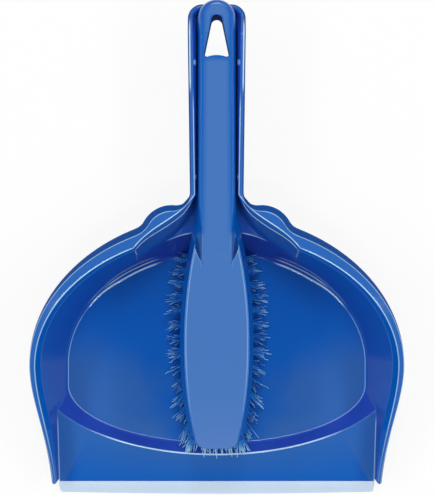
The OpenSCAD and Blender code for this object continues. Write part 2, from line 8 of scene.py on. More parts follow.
import bmesh
import bpy
import numpy as np
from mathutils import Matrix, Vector


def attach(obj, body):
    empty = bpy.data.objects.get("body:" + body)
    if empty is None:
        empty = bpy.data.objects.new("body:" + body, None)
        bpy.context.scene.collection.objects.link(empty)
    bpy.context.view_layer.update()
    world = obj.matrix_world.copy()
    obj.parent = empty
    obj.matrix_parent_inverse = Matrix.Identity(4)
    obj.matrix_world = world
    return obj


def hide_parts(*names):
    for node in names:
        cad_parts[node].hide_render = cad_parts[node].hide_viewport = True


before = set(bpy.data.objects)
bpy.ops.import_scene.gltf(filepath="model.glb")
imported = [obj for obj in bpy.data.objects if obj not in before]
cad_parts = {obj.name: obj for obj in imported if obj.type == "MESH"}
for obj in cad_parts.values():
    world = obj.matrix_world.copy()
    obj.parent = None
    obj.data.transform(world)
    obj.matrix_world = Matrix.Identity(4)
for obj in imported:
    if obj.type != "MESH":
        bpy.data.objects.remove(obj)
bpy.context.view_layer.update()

# %% [markdown]
# ## Tools for curves
# Every piece here is a skin stretched over curves. A curve could be drawn by hand in Blender, but one that is
# worked out from a few sizes stays fair and can be made finer at will, so it is worked out with numpy.

# %% Curve tools
def lerp(a, b, t):
    return a + (b - a) * t


def share(value, start, end):
    return (value - start) / (end - start)


def ease(t):
    t = np.clip(t, 0, 1)
    return t * t * (3 - 2 * t)


def window(value, low, high, soft):
    """1 between low and high, easing to 0 outside."""
    return ease((value - low) / soft + 0.5) * ease((high - value) / soft + 0.5)


def steps(n):
    return np.arange(n) / n


def stack(*parts):
    return np.stack(np.broadcast_arrays(*[np.asarray(p, float) for p in parts]), axis=-1)


def arc(centre, radius, degrees):
    angle = np.radians(degrees)
    return stack(centre[0] + radius * np.cos(angle), centre[1] + radius * np.sin(angle))


def bezier(p, t):
    p = np.asarray(p, float)
    t = np.asarray(t, float)[:, None]
    s = 1 - t
    return s ** 3 * p[0] + 3 * s * s * t * p[1] + 3 * s * t * t * p[2] + t ** 3 * p[3]


print("a quarter of the way along, ease gives", ease(0.25))

# %% [markdown]
# ## Soft corners
# A mould has no sharp corner: each one has a radius of half a millimetre or more, and that radius catches a
# thin highlight along an edge, which a painted highlight then whitens. Blender's Bevel could add the radius
# afterwards, but on a skin with long thin faces it stumbles. So the corners are rounded in the profile,
# before the skin is made. Each corner turns into a short curve, and a line close on each side of it keeps the
# flat beside it flat.

# %% Round the corners of a profile
CURVE_STEPS = 4
MOST_OF_SIDE = 0.42
HOLD_SHARE, HOLD_MAX = 0.06, 0.3
LINE_FULLNESS = 0.4


def rounded(points, trims, closed):
    """Rounds every corner of many profiles at once; points[k] holds corner k of every profile.
    Gives the new rows of points, the corner of each row, and its share of the way round that corner."""
    last = len(points) - 1
    way = np.linspace(0, 1, CURVE_STEPS + 1)
    rows, corner_of, turned = [], [], []
    for k, here in enumerate(points):
        if not closed and k in (0, last):
            rows.append(here)
            corner_of.append(k)
            turned.append(0)
            continue
        ends = []
        for other in (points[k - 1], points[(k + 1) % len(points)]):
            run = other - here
            length = np.maximum(np.linalg.norm(run, axis=-1, keepdims=True), 1e-9)
            cut = np.minimum(np.broadcast_to(trims[k], len(here))[:, None], MOST_OF_SIDE * length)
            hold = cut + np.minimum(HOLD_MAX, HOLD_SHARE * length)
            ends.append((here + run / length * cut, here + run / length * hold))
        (start, before), (end, after) = ends
        curve = [(1 - t) ** 2 * start + 2 * t * (1 - t) * here + t * t * end for t in way]
        rows += [before, *curve, after]
        corner_of += [k] * (len(curve) + 2)
        turned += [0, *way, 1]
    return np.array(rows), np.array(corner_of), np.array(turned)


def hump(turned):
    """1 in the middle of a corner's curve and 0 at its ends."""
    return (4 * turned * (1 - turned)) ** LINE_FULLNESS


print("a rounded corner has", CURVE_STEPS + 3, "rows of points")

# %% [markdown]
# ## From curves to solids
# A skin is a grid of four-sided faces. Where two halves meet on the middle line their points are merged, and
# the normals are turned outwards, so that every piece is one closed solid. Holes and slots are cut with
# Blender's Boolean modifier, which is then applied. A value on the cutter's faces stays on the cut, so that a
# finish can tell the cut faces from the rest.

# %% Faces and solids
MM = 0.001
MERGE = 1e-7
# Sizes count y from a line 1.5 mm in front of the middle of the set, where the frame has its origin
MIDDLE = np.array([0, 1.5, 0])


def grid_faces(rows, columns):
    """Four-sided faces between rows of points, each of which is a closed ring."""
    here = np.arange(columns)
    beside = (here + 1) % columns
    row = np.arange(rows - 1)[:, None] * columns
    corners = [row + here, row + beside, row + beside + columns, row + here + columns]
    return np.stack(corners, -1).reshape(-1, 4)


def tube_faces(rows, columns, start=0):
    """Faces of a closed tube: its first and its last ring as caps, and the grid between them."""
    last = start + (rows - 1) * columns
    caps = [range(start, start + columns), range(last, last + columns)]
    return [*caps, *(grid_faces(rows, columns) + start)]


def solid(name, points, faces, **values):
    """Closed mesh object from points in millimetres, with named values at its points for the finishes."""
    mesh = bpy.data.meshes.new(name)
    mesh.from_pydata(((np.asarray(points, float).reshape(-1, 3) - MIDDLE) * MM).tolist(), [],
                     [list(map(int, f)) for f in faces])
    for key, value in values.items():
        layer = mesh.attributes.new(key, "FLOAT", "POINT")
        layer.data.foreach_set("value", np.asarray(value, np.float32).ravel())
    cut_face = mesh.attributes.new("cut_face", "FLOAT", "FACE")
    cut_face.data.foreach_set("value", np.full(len(faces), name == "cutter", np.float32))
    work = bmesh.new()
    work.from_mesh(mesh)
    bmesh.ops.remove_doubles(work, verts=work.verts, dist=MERGE)
    bmesh.ops.dissolve_degenerate(work, edges=work.edges, dist=MERGE)
    bmesh.ops.recalc_face_normals(work, faces=work.faces)
    work.to_mesh(mesh)
    work.free()
    thing = bpy.data.objects.new(name, mesh)
    bpy.context.scene.collection.objects.link(thing)
    return thing


print("a box as a tube has", len(tube_faces(2, 4)), "faces")

# %% Cut and dress
SHARP = np.radians(38)


def prism(outline, low, high):
    """Cutter with the given plan outline, between two heights."""
    rings = [stack(outline[:, 0], outline[:, 1], z) for z in (low, high)]
    return solid("cutter", np.array(rings), tube_faces(2, len(outline)))


def carve(thing, cutter):
    """Takes the cutter away from the thing."""
    cut = thing.modifiers.new("cut", "BOOLEAN")
    cut.object = cutter
    cut.solver = "EXACT"
    now = bpy.context.evaluated_depsgraph_get()
    carved = bpy.data.meshes.new_from_object(thing.evaluated_get(now))
    thing.modifiers.clear()
    thing.data = carved
    bpy.data.objects.remove(cutter)


def dress(thing, finish, body, slot, *nodes):
    """Smooth shading, finish and body of a piece, and the nodes that it stands for."""
    thing.data.shade_smooth()
    thing.data.set_sharp_from_angle(angle=SHARP)
    thing.data.materials.clear()
    thing.data.materials.append(finish)
    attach(thing, body)
    if nodes:
        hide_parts(*nodes)
    work = bmesh.new()
    work.from_mesh(thing.data)
    loose = sum(not e.is_manifold for e in work.edges)
    work.free()
    print(thing.name, len(thing.data.polygons), "faces,", loose, "open edges")


print("edges over", round(np.degrees(SHARP)), "degrees stay sharp")

# %% [markdown]
# ## Finishes
# A finish starts from what the surface is: a plastic, how it was moulded, and what that gives the eye. One
# small function adds a node, sets it and links it, and one turns the usual hex colours into the linear values
# that Blender works in. Pattern sizes are written in millimetres.

# %% Tools for finishes
def hue(code):
    parts = np.array([int(code[i:i + 2], 16) for i in (1, 3, 5)]) / 255
    linear = np.where(parts <= 0.04045, parts / 12.92, ((parts + 0.055) / 1.055) ** 2.4)
    return (*linear.tolist(), 1.0)


def add(tree, kind, inputs=None, **settings):
    node = tree.nodes.new(kind)
    for name, value in settings.items():
        setattr(node, name, value)
    for name, value in (inputs or {}).items():
        if isinstance(value, bpy.types.NodeSocket):
            tree.links.new(value, node.inputs[name])
        else:
            node.inputs[name].default_value = value
    return node


def finish_named(name):
    finish = bpy.data.materials.new(name)
    finish.use_nodes = True
    finish.node_tree.nodes.clear()
    return finish, finish.node_tree


def per_mm(size):
    """Texture scale at which a pattern repeats about every so many millimetres."""
    return 1 / (size * MM)


print("mid grey in linear light:", round(hue("#808080")[0], 3))

# %% [markdown]
# ### Injection-moulded polypropylene
# The pan and the brush stock are polypropylene, coloured in the melt and moulded in a polished steel tool.
# Its index of refraction is 1.49 and its skin is glossy. The colour drifts a little where the melt flowed,
# the gloss is broken by the tool's polish, and the walls wave by hundredths of a millimetre as they cool,
# which makes long reflections wander. The polish is drawn coarser than real, at half a millimetre, so that
# it shows. One blue all over would look like paint. Painted shade makes the deep walls more violet, painted
# light makes the tops, the ramp, the shoulder and a wedge of the floor paler, and a painted highlight makes
# the edges nearly white. The outside and the cut faces are matt, with a darker painted shade. Painted masks
# could say where; here each mesh brings the shares as values of its own, and the finish mixes the tones.

# %% Moulded polypropylene
FLOW_MM, POLISH_MM, SINK_MM = 48, 0.5, 22
POLISH_DEPTH, SINK_DEPTH = 0.01 * MM, 0.05 * MM
MATT_ROUGHNESS = 1.0


def moulded_polypropylene(name, melt, tones, gloss):
    """From the melt's two blues, a tone for each named value of the mesh, and a range of roughness."""
    finish, tree = finish_named(name)
    place = add(tree, "ShaderNodeTexCoord").outputs["Object"]
    flow = add(tree, "ShaderNodeTexNoise", {"Vector": place, "Scale": per_mm(FLOW_MM), "Detail": 3.0,
                                            "Distortion": 0.6})
    colour = add(tree, "ShaderNodeMix", {"Factor": flow.outputs["Fac"], "A": hue(melt[0]), "B": hue(melt[1])},
                 data_type="RGBA")
    for where, tone in tones.items():
        there = add(tree, "ShaderNodeAttribute", attribute_name=where).outputs["Fac"]
        colour = add(tree, "ShaderNodeMix", {"Factor": there, "A": colour.outputs[2], "B": hue(tone)},
                     data_type="RGBA")
    polish = add(tree, "ShaderNodeTexNoise", {"Vector": place, "Scale": per_mm(POLISH_MM), "Detail": 2.0})
    glossy = add(tree, "ShaderNodeMapRange", {"Value": polish.outputs["Fac"], "To Min": gloss[0],
                                              "To Max": gloss[1]})
    outside, cut = (add(tree, "ShaderNodeAttribute", attribute_name=where).outputs["Fac"]
                    for where in ("matt_outside", "cut_face"))
    matt = add(tree, "ShaderNodeMath", {0: outside, 1: cut}, operation="MAXIMUM")
    rough = add(tree, "ShaderNodeMix", {0: matt.outputs[0], 2: glossy.outputs["Result"], 3: MATT_ROUGHNESS})
    sink = add(tree, "ShaderNodeTexNoise", {"Vector": place, "Scale": per_mm(SINK_MM), "Detail": 1.0})
    wave = add(tree, "ShaderNodeBump", {"Height": sink.outputs["Fac"], "Strength": 0.6,
                                        "Distance": SINK_DEPTH})
    skin = add(tree, "ShaderNodeBump", {"Height": polish.outputs["Fac"], "Strength": 0.15,
                                        "Distance": POLISH_DEPTH, "Normal": wave.outputs["Normal"]})
    shader = add(tree, "ShaderNodeBsdfPrincipled", {
        "Base Color": colour.outputs[2], "Roughness": rough.outputs[0], "IOR": 1.49,
        "Specular IOR Level": 0.3, "Normal": skin.outputs["Normal"]}, distribution="GGX")
    add(tree, "ShaderNodeOutputMaterial", {"Surface": shader.outputs["BSDF"]})
    return finish


# Pan tones: painted wall shade, darker painted shade outside and on cut faces, painted light, painted
# highlight
pan_polypropylene = moulded_polypropylene(
    "moulded_polypropylene_pan", ("#0662c2", "#025cbc"),
    {"matt_outside": "#034a9c", "deep_wall": "#2e50c0", "scuffed_top": "#3469b3",
     "polished_edge": "#c8ecff", "cut_face": "#034a9c"}, gloss=(0.05, 0.1))
# Stock tones: painted light on its tops, a painted highlight on its edges, dark painted shade on its cut
# faces
stock_polypropylene = moulded_polypropylene(
    "moulded_polypropylene_stock", ("#0460bc", "#025ab4"),
    {"scuffed_top": "#4575ba", "polished_edge": "#9ccaf8", "cut_face": "#02307c"}, gloss=(0.12, 0.18))
print("two moulded polypropylene finishes")

# %% [markdown]
# ### Soft lip
# The lip is a soft thermoplastic rubber, moulded over the pan's edge: pale, a little cloudy, and it lets some
# light through. Subsurface scattering could give the cloud its depth, but in a strip 1 mm thick it would not
# show, so a little transmission does. The satin of its mould is drawn at 0.6 mm, coarser than real.

# %% Thermoplastic rubber
CLOUD_MM, SATIN_MM = 9, 0.6
soft_rubber, tree = finish_named("moulded_thermoplastic_rubber")
place = add(tree, "ShaderNodeTexCoord").outputs["Object"]
cloud = add(tree, "ShaderNodeTexNoise", {"Vector": place, "Scale": per_mm(CLOUD_MM), "Detail": 3.0})
milk = add(tree, "ShaderNodeMix", {"Factor": cloud.outputs["Fac"], "A": hue("#cfe7ff"), "B": hue("#daeeff")},
           data_type="RGBA")
satin = add(tree, "ShaderNodeTexNoise", {"Vector": place, "Scale": per_mm(SATIN_MM), "Detail": 2.0})
matt = add(tree, "ShaderNodeMapRange", {"Value": satin.outputs["Fac"], "To Min": 0.3, "To Max": 0.42})
grain = add(tree, "ShaderNodeBump", {"Height": satin.outputs["Fac"], "Strength": 0.3, "Distance": 0.02 * MM})
shader = add(tree, "ShaderNodeBsdfPrincipled", {
    "Base Color": milk.outputs[2], "Roughness": matt.outputs["Result"], "IOR": 1.5,
    "Transmission Weight": 0.08, "Normal": grain.outputs["Normal"]})
add(tree, "ShaderNodeOutputMaterial", {"Surface": shader.outputs["BSDF"]})
print("finish:", soft_rubber.name)

# %% [markdown]
# ### Bristles and wire
# The bristles are drawn nylon, whose ends are split so that they pick up fine dust. The split ends scatter
# light and look paler, and some are more worn than others. A pattern laid over the tufts would cut across the
# filaments, so each filament brings a shade of its own and says how near each point is to its tip. The tufts
# are held by small plates cut from galvanised steel wire, with the faint spangle of its zinc.

# %% Drawn nylon
SPLIT_FROM, SPLIT_FULL = 0.72, 0.94
drawn_nylon, tree = finish_named("drawn_nylon_filament")
toward_tip, own_shade = (add(tree, "ShaderNodeAttribute", attribute_name=where).outputs["Fac"]
                         for where in ("toward_tip", "own_shade"))
split = add(tree, "ShaderNodeMapRange", {"Value": toward_tip, "From Min": SPLIT_FROM, "From Max": SPLIT_FULL},
            interpolation_type="SMOOTHSTEP")
body_blue = add(tree, "ShaderNodeMix", {"Factor": own_shade, "A": hue("#0a54bc"), "B": hue("#2c98ec")},
                data_type="RGBA")
# own_shade is random per filament; for the foremost tufts it is raised, so their pale ends are painted light
worn = add(tree, "ShaderNodeMapRange", {"Value": own_shade, "From Min": 0.25, "From Max": 0.6})
pale_end = add(tree, "ShaderNodeMath", {0: split.outputs["Result"], 1: worn.outputs["Result"]},
               operation="MULTIPLY")
flagged = add(tree, "ShaderNodeMix", {"Factor": pale_end.outputs[0], "A": body_blue.outputs[2],
                                      "B": hue("#b4eaff")}, data_type="RGBA")
fuzz = add(tree, "ShaderNodeMapRange", {"Value": toward_tip, "To Min": 0.45, "To Max": 0.7})
shader = add(tree, "ShaderNodeBsdfPrincipled", {
    "Base Color": flagged.outputs[2], "Roughness": fuzz.outputs["Result"], "IOR": 1.53,
    "Specular IOR Level": 0.1}, distribution="GGX")
add(tree, "ShaderNodeOutputMaterial", {"Surface": shader.outputs["BSDF"]})
print("finish:", drawn_nylon.name)

# %% Galvanised steel, for the anchors of the frame
SPANGLE_MM = 0.8
galvanised_steel, tree = finish_named("galvanised_steel_wire")
place = add(tree, "ShaderNodeTexCoord").outputs["Object"]
crystals = add(tree, "ShaderNodeTexVoronoi", {"Vector": place, "Scale": per_mm(SPANGLE_MM)})
spangle = crystals.outputs["Distance"]
zinc = add(tree, "ShaderNodeMix", {"Factor": spangle, "A": hue("#b4b9bd"), "B": hue("#c9ccce")},
           data_type="RGBA")
dull = add(tree, "ShaderNodeMapRange", {"Value": spangle, "To Min": 0.3, "To Max": 0.5})
shader = add(tree, "ShaderNodeBsdfPrincipled", {
    "Base Color": zinc.outputs[2], "Metallic": 1.0, "Roughness": dull.outputs["Result"]})
add(tree, "ShaderNodeOutputMaterial", {"Surface": shader.outputs["BSDF"]})
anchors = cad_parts["tuft_anchors"]
anchors.data.materials.clear()
anchors.data.materials.append(galvanised_steel)
print("finish:", galvanised_steel.name, "on", anchors.name)

# %% [markdown]
# ## The pan
# The pan is one moulding: an oval bowl with steep walls, a flat flange with a skirt, a round knuckle at each
# shoulder, a channel for the brush handle, and a ramp in front. It could be modelled from separate parts and
# joined, but its walls run into each other without a seam. So it is one skin, stretched over rings that run
# round the whole pan. Its half outline is drawn stretch by stretch, from the middle of the front to the end
# of the handle.

# %% Sizes of the pan
# Bowl: widest line, half-widths, reach behind that line, and the angle at which the knuckle begins
WIDE_Y, RIM_HW, EAR_HW, RIM_BACK, NOTCH_ANGLE = -71, 114, 104.3, 85, 63
# Heights and walls
RIM_Z, EAR_Z, CHANNEL_Z, FLOOR_T, WALL_T = 56, 17, 38, 2.2, 2
# Widths of the flange and of the skirt round it
FLANGE_SIDE, FLANGE_BACK, SKIRT_SIDE, SKIRT_BACK = 3.4, 7.3, 1, 5.3
# Ramp; the tub reaches past its front edge, and is cut off there later
FRONT_Y, RAMP_HW, RAMP_FRONT_Z, RAMP_SLOPE = -152, 103.4, 2.6, 0.275
TUB_Y, EAR_Y = FRONT_Y - 8, FRONT_Y + 4
# Handle, from its root to its end, with a bead round it
RIM_ROOT_Y, END_Y, ROOT_HW, END_HW, END_R, BEAD_W, BEAD_OUT = 38, 158, 13.7, 15.2, 6, 2.7, 0.35
RIM_END_Y = END_Y - BEAD_W - BEAD_OUT
# Knuckles, and the fillets from them to the handle
KNUCKLE, KNUCKLE_R, KNUCKLE_START = np.array([28, 11.4]), 20.4, 30
SKIRT_FILLET, FLANGE_FILLET = 8, 12
print("the pan's rim is", 2 * RIM_HW, "mm wide")

# %% Columns of the half outline
N_FRONT, N_FLANK, N_BACK, N_SHOULDER, N_GRIP, N_END = 20, 78, 80, 100, 44, 30
I_FRONT = N_FRONT
I_CREST = N_FRONT + N_FLANK * 2 // 3
I_FLANK = N_FRONT + N_FLANK
I_BACK = I_FLANK + N_BACK
I_SHOULDER = I_BACK + N_SHOULDER
I_GRIP = I_SHOULDER + N_GRIP
I_LAST = I_GRIP + N_END
COLUMN = np.arange(I_LAST + 1)


def along(first, end):
    """Columns of a stretch, and each one's share of the way along it."""
    at = (COLUMN >= first) & (COLUMN < end)
    return at, share(COLUMN[at], first, end)


print("the pan's half outline has", len(COLUMN), "columns")

# %% Heights of the rim, the skirt and the ramp
RIM_LEVEL_Y = 10
END_DIP, DIP_Y, DIP_RUN = 10, END_Y - 20, 13
SKIRT_DEPTH, SKIRT_GRIP = 8, 2.6


def rim_height(y):
    u = np.clip(share(y, EAR_Y, RIM_LEVEL_Y), 0, 1)
    return lerp(EAR_Z, RIM_Z, 1 - (1 - u) ** 2) - END_DIP * ease((y - DIP_Y) / DIP_RUN)


def skirt_drop(y):
    deep = lerp(SKIRT_DEPTH / 2, SKIRT_DEPTH, ease(share(y, EAR_Y, WIDE_Y)))
    return lerp(deep, SKIRT_GRIP, ease((y - KNUCKLE[1] - SKIRT_FILLET) / (2 * SKIRT_FILLET)))


def ramp_z(y):
    return RAMP_FRONT_Z + RAMP_SLOPE * (y - FRONT_Y)


print("rim from", rim_height(EAR_Y), "to", rim_height(20.0), "mm high")

# %% Stretches of an outline
FLANK_EXPONENT = 1.3
CORNER_SHARE = 0.7
NOTCH_SHARE, BALL_SHARE, NOTCH_PULL = 0.25, 0.7, 0.4


def flank(front_hw, side_hw):
    t = steps(N_FLANK)
    return stack(lerp(front_hw, side_hw, ease(t ** FLANK_EXPONENT)), lerp(TUB_Y, WIDE_Y, t))


def back_curve(side_hw, reach, t):
    angle = np.radians(NOTCH_ANGLE * t)
    return stack(side_hw * np.cos(angle), WIDE_Y + reach * np.sin(angle))


def grip_side(hw0, hw1, y0, y1, t):
    u = 1 - (1 - t) ** 2
    return stack(lerp(hw0, hw1, u), lerp(y0, y1, u))


def grip_end(hw, y, r, t):
    corner = arc((hw - r, y - r), r, 90 * np.minimum(t / CORNER_SHARE, 1))
    line = stack(lerp(hw - r, 0, share(t, CORNER_SHARE, 1)), y)
    return np.where((t < CORNER_SHARE)[:, None], corner, line)


def fillet_centre(r, fillet, hw):
    x = hw + fillet
    return np.array([x, KNUCKLE[1] + np.sqrt((r + fillet) ** 2 - (x - KNUCKLE[0]) ** 2)])


def knuckle_side(side_hw, reach, r, fillet, hw):
    """Notch behind the bowl, ball of the knuckle and neck to the handle."""
    t = steps(N_SHOULDER)
    centre = fillet_centre(r, fillet, hw)
    top = np.degrees(np.arctan2(centre[1] - KNUCKLE[1], centre[0] - KNUCKLE[0]))
    start, end = back_curve(side_hw, reach, 1.0), arc(KNUCKLE, r, KNUCKLE_START)
    run = np.linalg.norm(end - start) * NOTCH_PULL
    angle, turn = np.radians([NOTCH_ANGLE, KNUCKLE_START])
    leave = np.array([-side_hw * np.sin(angle), reach * np.cos(angle)])
    arrive = np.array([-np.sin(turn), np.cos(turn)])
    notch = bezier([start, start + leave * run / np.linalg.norm(leave), end - run * arrive, end],
                   np.minimum(t / NOTCH_SHARE, 1))
    ball = arc(KNUCKLE, r, lerp(KNUCKLE_START, top, share(t, NOTCH_SHARE, BALL_SHARE)))
    neck = arc(centre, fillet, lerp(top + 180, 180, share(t, BALL_SHARE, 1)))
    return np.where((t < NOTCH_SHARE)[:, None], notch, np.where((t < BALL_SHARE)[:, None], ball, neck))


print("flank", len(flank(EAR_HW, RIM_HW)), "points, knuckle", N_SHOULDER, "points")

# %% Half outlines of the rim, the flange and the skirt
SHOULDER_PULL = [(40, 20), (24, 22)]
FLANGE_IN, BEAD_ROUND = 4.2, 0.7
to_end = np.linspace(0, 1, N_END + 1)


def edge_outline(front_hw, side_hw, reach, r, fillet, out):
    """Outline that runs round the knuckle and, at a distance out, round the handle's rim."""
    tip = RIM_END_Y + out
    neck_y = fillet_centre(r, fillet, ROOT_HW + out)[1]
    return np.concatenate([
        stack(front_hw * steps(N_FRONT), TUB_Y - out), flank(front_hw, side_hw),
        back_curve(side_hw, reach, steps(N_BACK)), knuckle_side(side_hw, reach, r, fillet, ROOT_HW + out),
        grip_side(ROOT_HW + out, END_HW + out, neck_y, tip - END_R - out, steps(N_GRIP)),
        grip_end(END_HW + out, tip, END_R + out, to_end)])


shoulder_start = back_curve(RIM_HW, RIM_BACK, 1.0)
rim_outline = np.concatenate([
    stack(EAR_HW * steps(N_FRONT), TUB_Y), flank(EAR_HW, RIM_HW), back_curve(RIM_HW, RIM_BACK, steps(N_BACK)),
    bezier([shoulder_start, *SHOULDER_PULL, (ROOT_HW, RIM_ROOT_Y)], steps(N_SHOULDER)),
    grip_side(ROOT_HW, END_HW, RIM_ROOT_Y, RIM_END_Y - END_R, steps(N_GRIP)),
    grip_end(END_HW, RIM_END_Y, END_R, to_end)])
flange_outline = edge_outline(
    EAR_HW + FLANGE_SIDE / 2, RIM_HW + FLANGE_SIDE, RIM_BACK + FLANGE_BACK,
    KNUCKLE_R - FLANGE_IN, FLANGE_FILLET, BEAD_W - BEAD_ROUND)
skirt_outline = edge_outline(
    EAR_HW + FLANGE_SIDE / 2 + SKIRT_SIDE, RIM_HW + FLANGE_SIDE + SKIRT_SIDE,
    RIM_BACK + FLANGE_BACK + SKIRT_BACK, KNUCKLE_R, SKIRT_FILLET, BEAD_W + BEAD_OUT)
print("skirt is", 2 * skirt_outline[:, 0].max(), "mm wide")

# %% [markdown]
# ### Rings of the pan's skin
# From the floor outwards the skin goes over the foot of the wall, the crest of the ramp, the line where the
# wall meets the ramp and the channel, the band under the rim, the rim, the flange and the skirt. Then it
# comes back underneath, one wall thickness away. A loft along a few sections could do this too, but rings
# with a point in every column let each edge keep its own line all the way round.

# %% Rings of the rim, the flange, the skirt and the foot of the wall
FOOT_HW, FOOT_BACK, FOOT_STRAIGHT, FOOT_FRONT = 98.6, 74, 14, 38.9
FOOT_STOPS = [0, I_FRONT, I_CREST, I_FLANK, I_BACK, I_SHOULDER, I_LAST]
FOOT_ANGLES = [-90, -35, -8, 0, 58, 80, 90]


def outward(ring):
    """Direction in plan, square to the ring, at each of its points."""
    before = np.vstack([ring[1] * [-1, 1, 1], ring[:-1]])
    after = np.vstack([ring[1:], ring[-2] * [-1, 1, 1]])
    run = (after - before)[:, :2]
    return stack(run[:, 1], -run[:, 0]) / np.linalg.norm(run, axis=1, keepdims=True)


def shifted(ring, out, drop):
    move = outward(ring) * np.broadcast_to(out, len(ring))[:, None]
    return ring + np.column_stack([move, -np.broadcast_to(drop, len(ring))])


rim = stack(*rim_outline.T, rim_height(rim_outline[:, 1]))
flange = stack(*flange_outline.T, rim_height(flange_outline[:, 1]))
skirt = stack(*skirt_outline.T, rim_height(skirt_outline[:, 1]) - skirt_drop(skirt_outline[:, 1]))

foot_angle = np.interp(COLUMN, FOOT_STOPS, FOOT_ANGLES)
turn = np.radians(foot_angle)
foot_y = np.where(COLUMN < I_FLANK, WIDE_Y - FOOT_STRAIGHT + FOOT_FRONT * np.sin(turn),
                  WIDE_Y + FOOT_BACK * np.sin(turn))
foot = stack(FOOT_HW * np.cos(turn), foot_y, FLOOR_T)
print("rings of", len(rim), "points")

# %% Ring of the band under the rim, which becomes the chamfer of the channel
BAND_ROOT, BAND_SIDE, BAND_BACK, BAND_SWELL, BAND_SLOPE = 0.6, 3.3, 1.8, 1.6, 1.5
CHANNEL_HW = (12.9, 13.2)
band_w = np.full(len(COLUMN), BAND_ROOT)
at = COLUMN < I_FLANK
band_w[at] = lerp(BAND_ROOT, BAND_SIDE, ease(share(COLUMN[at], I_FRONT, I_CREST)))
at, t = along(I_FLANK, I_BACK)
band_w[at] = lerp(BAND_SIDE, BAND_BACK, t)
at, t = along(I_BACK, I_SHOULDER)
swell = BAND_SWELL * ease(t / 0.5) * ease((1 - t) / 0.3)
band_w[at] = lerp(BAND_BACK, ROOT_HW - CHANNEL_HW[0], t) + swell
at, t = along(I_SHOULDER, I_GRIP)
band_w[at] = rim[at, 0] - CHANNEL_HW[0]
at = COLUMN >= I_GRIP
band_w[at] = lerp(END_HW - CHANNEL_HW[0], BAND_ROOT, ease(share(COLUMN[at], I_GRIP, I_LAST) / CORNER_SHARE))
band = shifted(rim, -band_w, BAND_SLOPE * band_w)
print("band from", band_w.min().round(2), "to", band_w.max().round(2), "mm wide")

# %% Ring where the wall meets the ramp, the shoulder pocket and the channel
CREST_FRONT, CREST_HW, CREST_END = 59, 118, -29
JUNCTION_CLIMB = (0.49, 0.64)
POCKET_PULL = [(36, 10, CHANNEL_Z - 2), (14.5, 16, CHANNEL_Z)]
CHANNEL_END_Y = RIM_END_Y - BAND_ROOT
crest_y = WIDE_Y + CREST_FRONT * np.sin(np.radians(CREST_END))
side_wall = (COLUMN > I_CREST) & (COLUMN < I_BACK)
along_side = share(COLUMN[side_wall], I_CREST, I_BACK)


def on_wall(columns, climb):
    """Points on the wall, at a share of the climb from its foot to the band."""
    return lerp(foot[columns], band[columns], np.reshape(climb, (-1, 1)))


junction = np.zeros_like(rim)
at, t = along(0, I_FRONT)
junction[at] = stack(RAMP_HW * t, TUB_Y, ramp_z(TUB_Y))
at, t = along(I_FRONT, I_CREST + 1)
y = np.minimum(lerp(TUB_Y, crest_y, share(COLUMN[at], I_FRONT, I_CREST)), crest_y)
junction[at] = stack(RAMP_HW, y, ramp_z(y))
junction[side_wall] = on_wall(side_wall, lerp(*JUNCTION_CLIMB, along_side))
at, t = along(I_BACK, I_SHOULDER)
pocket_start = on_wall([I_BACK], JUNCTION_CLIMB[1])[0]
junction[at] = bezier([pocket_start, *POCKET_PULL, (CHANNEL_HW[0], RIM_ROOT_Y, CHANNEL_Z)], t)
at, t = along(I_SHOULDER, I_GRIP)
channel_side = grip_side(*CHANNEL_HW, RIM_ROOT_Y, CHANNEL_END_Y - END_R, t)
junction[at] = stack(*channel_side.T, CHANNEL_Z)
at = COLUMN >= I_GRIP
channel_end = grip_end(CHANNEL_HW[1], CHANNEL_END_Y, END_R, share(COLUMN[at], I_GRIP, I_LAST))
junction[at] = stack(*channel_end.T, CHANNEL_Z)
print("the channel is", 2 * CHANNEL_HW[0], "to", 2 * CHANNEL_HW[1], "mm wide inside")

# %% Ring of the crest, which runs on over the throat into the channel
CREST_GAP, CREST_CLIMB = 0.8, (0.44, 0.52)
THROAT_HW, THROAT_Y, THROAT_BOW = ROOT_HW - 0.7, 14.4, 0.6
THROAT_PULL = [(38, 7, CHANNEL_Z - 7), (26, 13.5, CHANNEL_Z - 2)]
crest = np.zeros_like(rim)
at = COLUMN <= I_CREST
turn = np.radians(lerp(-90, CREST_END, share(foot_angle[at], -90, foot_angle[I_CREST])))
y = WIDE_Y + CREST_FRONT * np.sin(turn)
crest[at] = stack(np.minimum(CREST_HW * np.cos(turn), RAMP_HW - CREST_GAP), y, ramp_z(y))
crest[side_wall] = on_wall(side_wall, lerp(*CREST_CLIMB, along_side))
at, t = along(I_BACK, I_SHOULDER)
throat_start = on_wall([I_BACK], CREST_CLIMB[1])[0]
crest[at] = bezier([throat_start, *THROAT_PULL, (THROAT_HW, THROAT_Y, CHANNEL_Z)], t)
at = COLUMN >= I_SHOULDER
t = share(COLUMN[at], I_SHOULDER, I_LAST)
crest[at] = stack(THROAT_HW * (1 - t), THROAT_Y + THROAT_BOW * t, CHANNEL_Z)
print("crest from", crest[0].round(1), "to", crest[-1].round(1))

# %% Rings on the under side
# The skirt's ring moves inwards by about a wall thickness, and the others outwards and down by about one; the
# ring under the flange starts from the rim's
flange_w = np.linalg.norm(flange - rim, axis=1)
skirt_under = shifted(skirt, -np.minimum(WALL_T * 0.9, 0.3 + np.maximum(0, flange_w - BEAD_W)), 0)
flange_under = shifted(rim, np.maximum(flange_w - WALL_T * 0.4, WALL_T + 0.2), WALL_T)
rim_under = shifted(rim, WALL_T, WALL_T + 0.3)
band_under = shifted(band, WALL_T, WALL_T * 0.4)
junction_under = shifted(junction, WALL_T * 0.95, WALL_T * 0.95)
crest_under = shifted(crest, WALL_T * 0.85, WALL_T * 0.75)
foot_under = shifted(foot, WALL_T * 0.5, FLOOR_T)
print("flange from", flange_w.min().round(1), "to", flange_w.max().round(1), "mm wide")

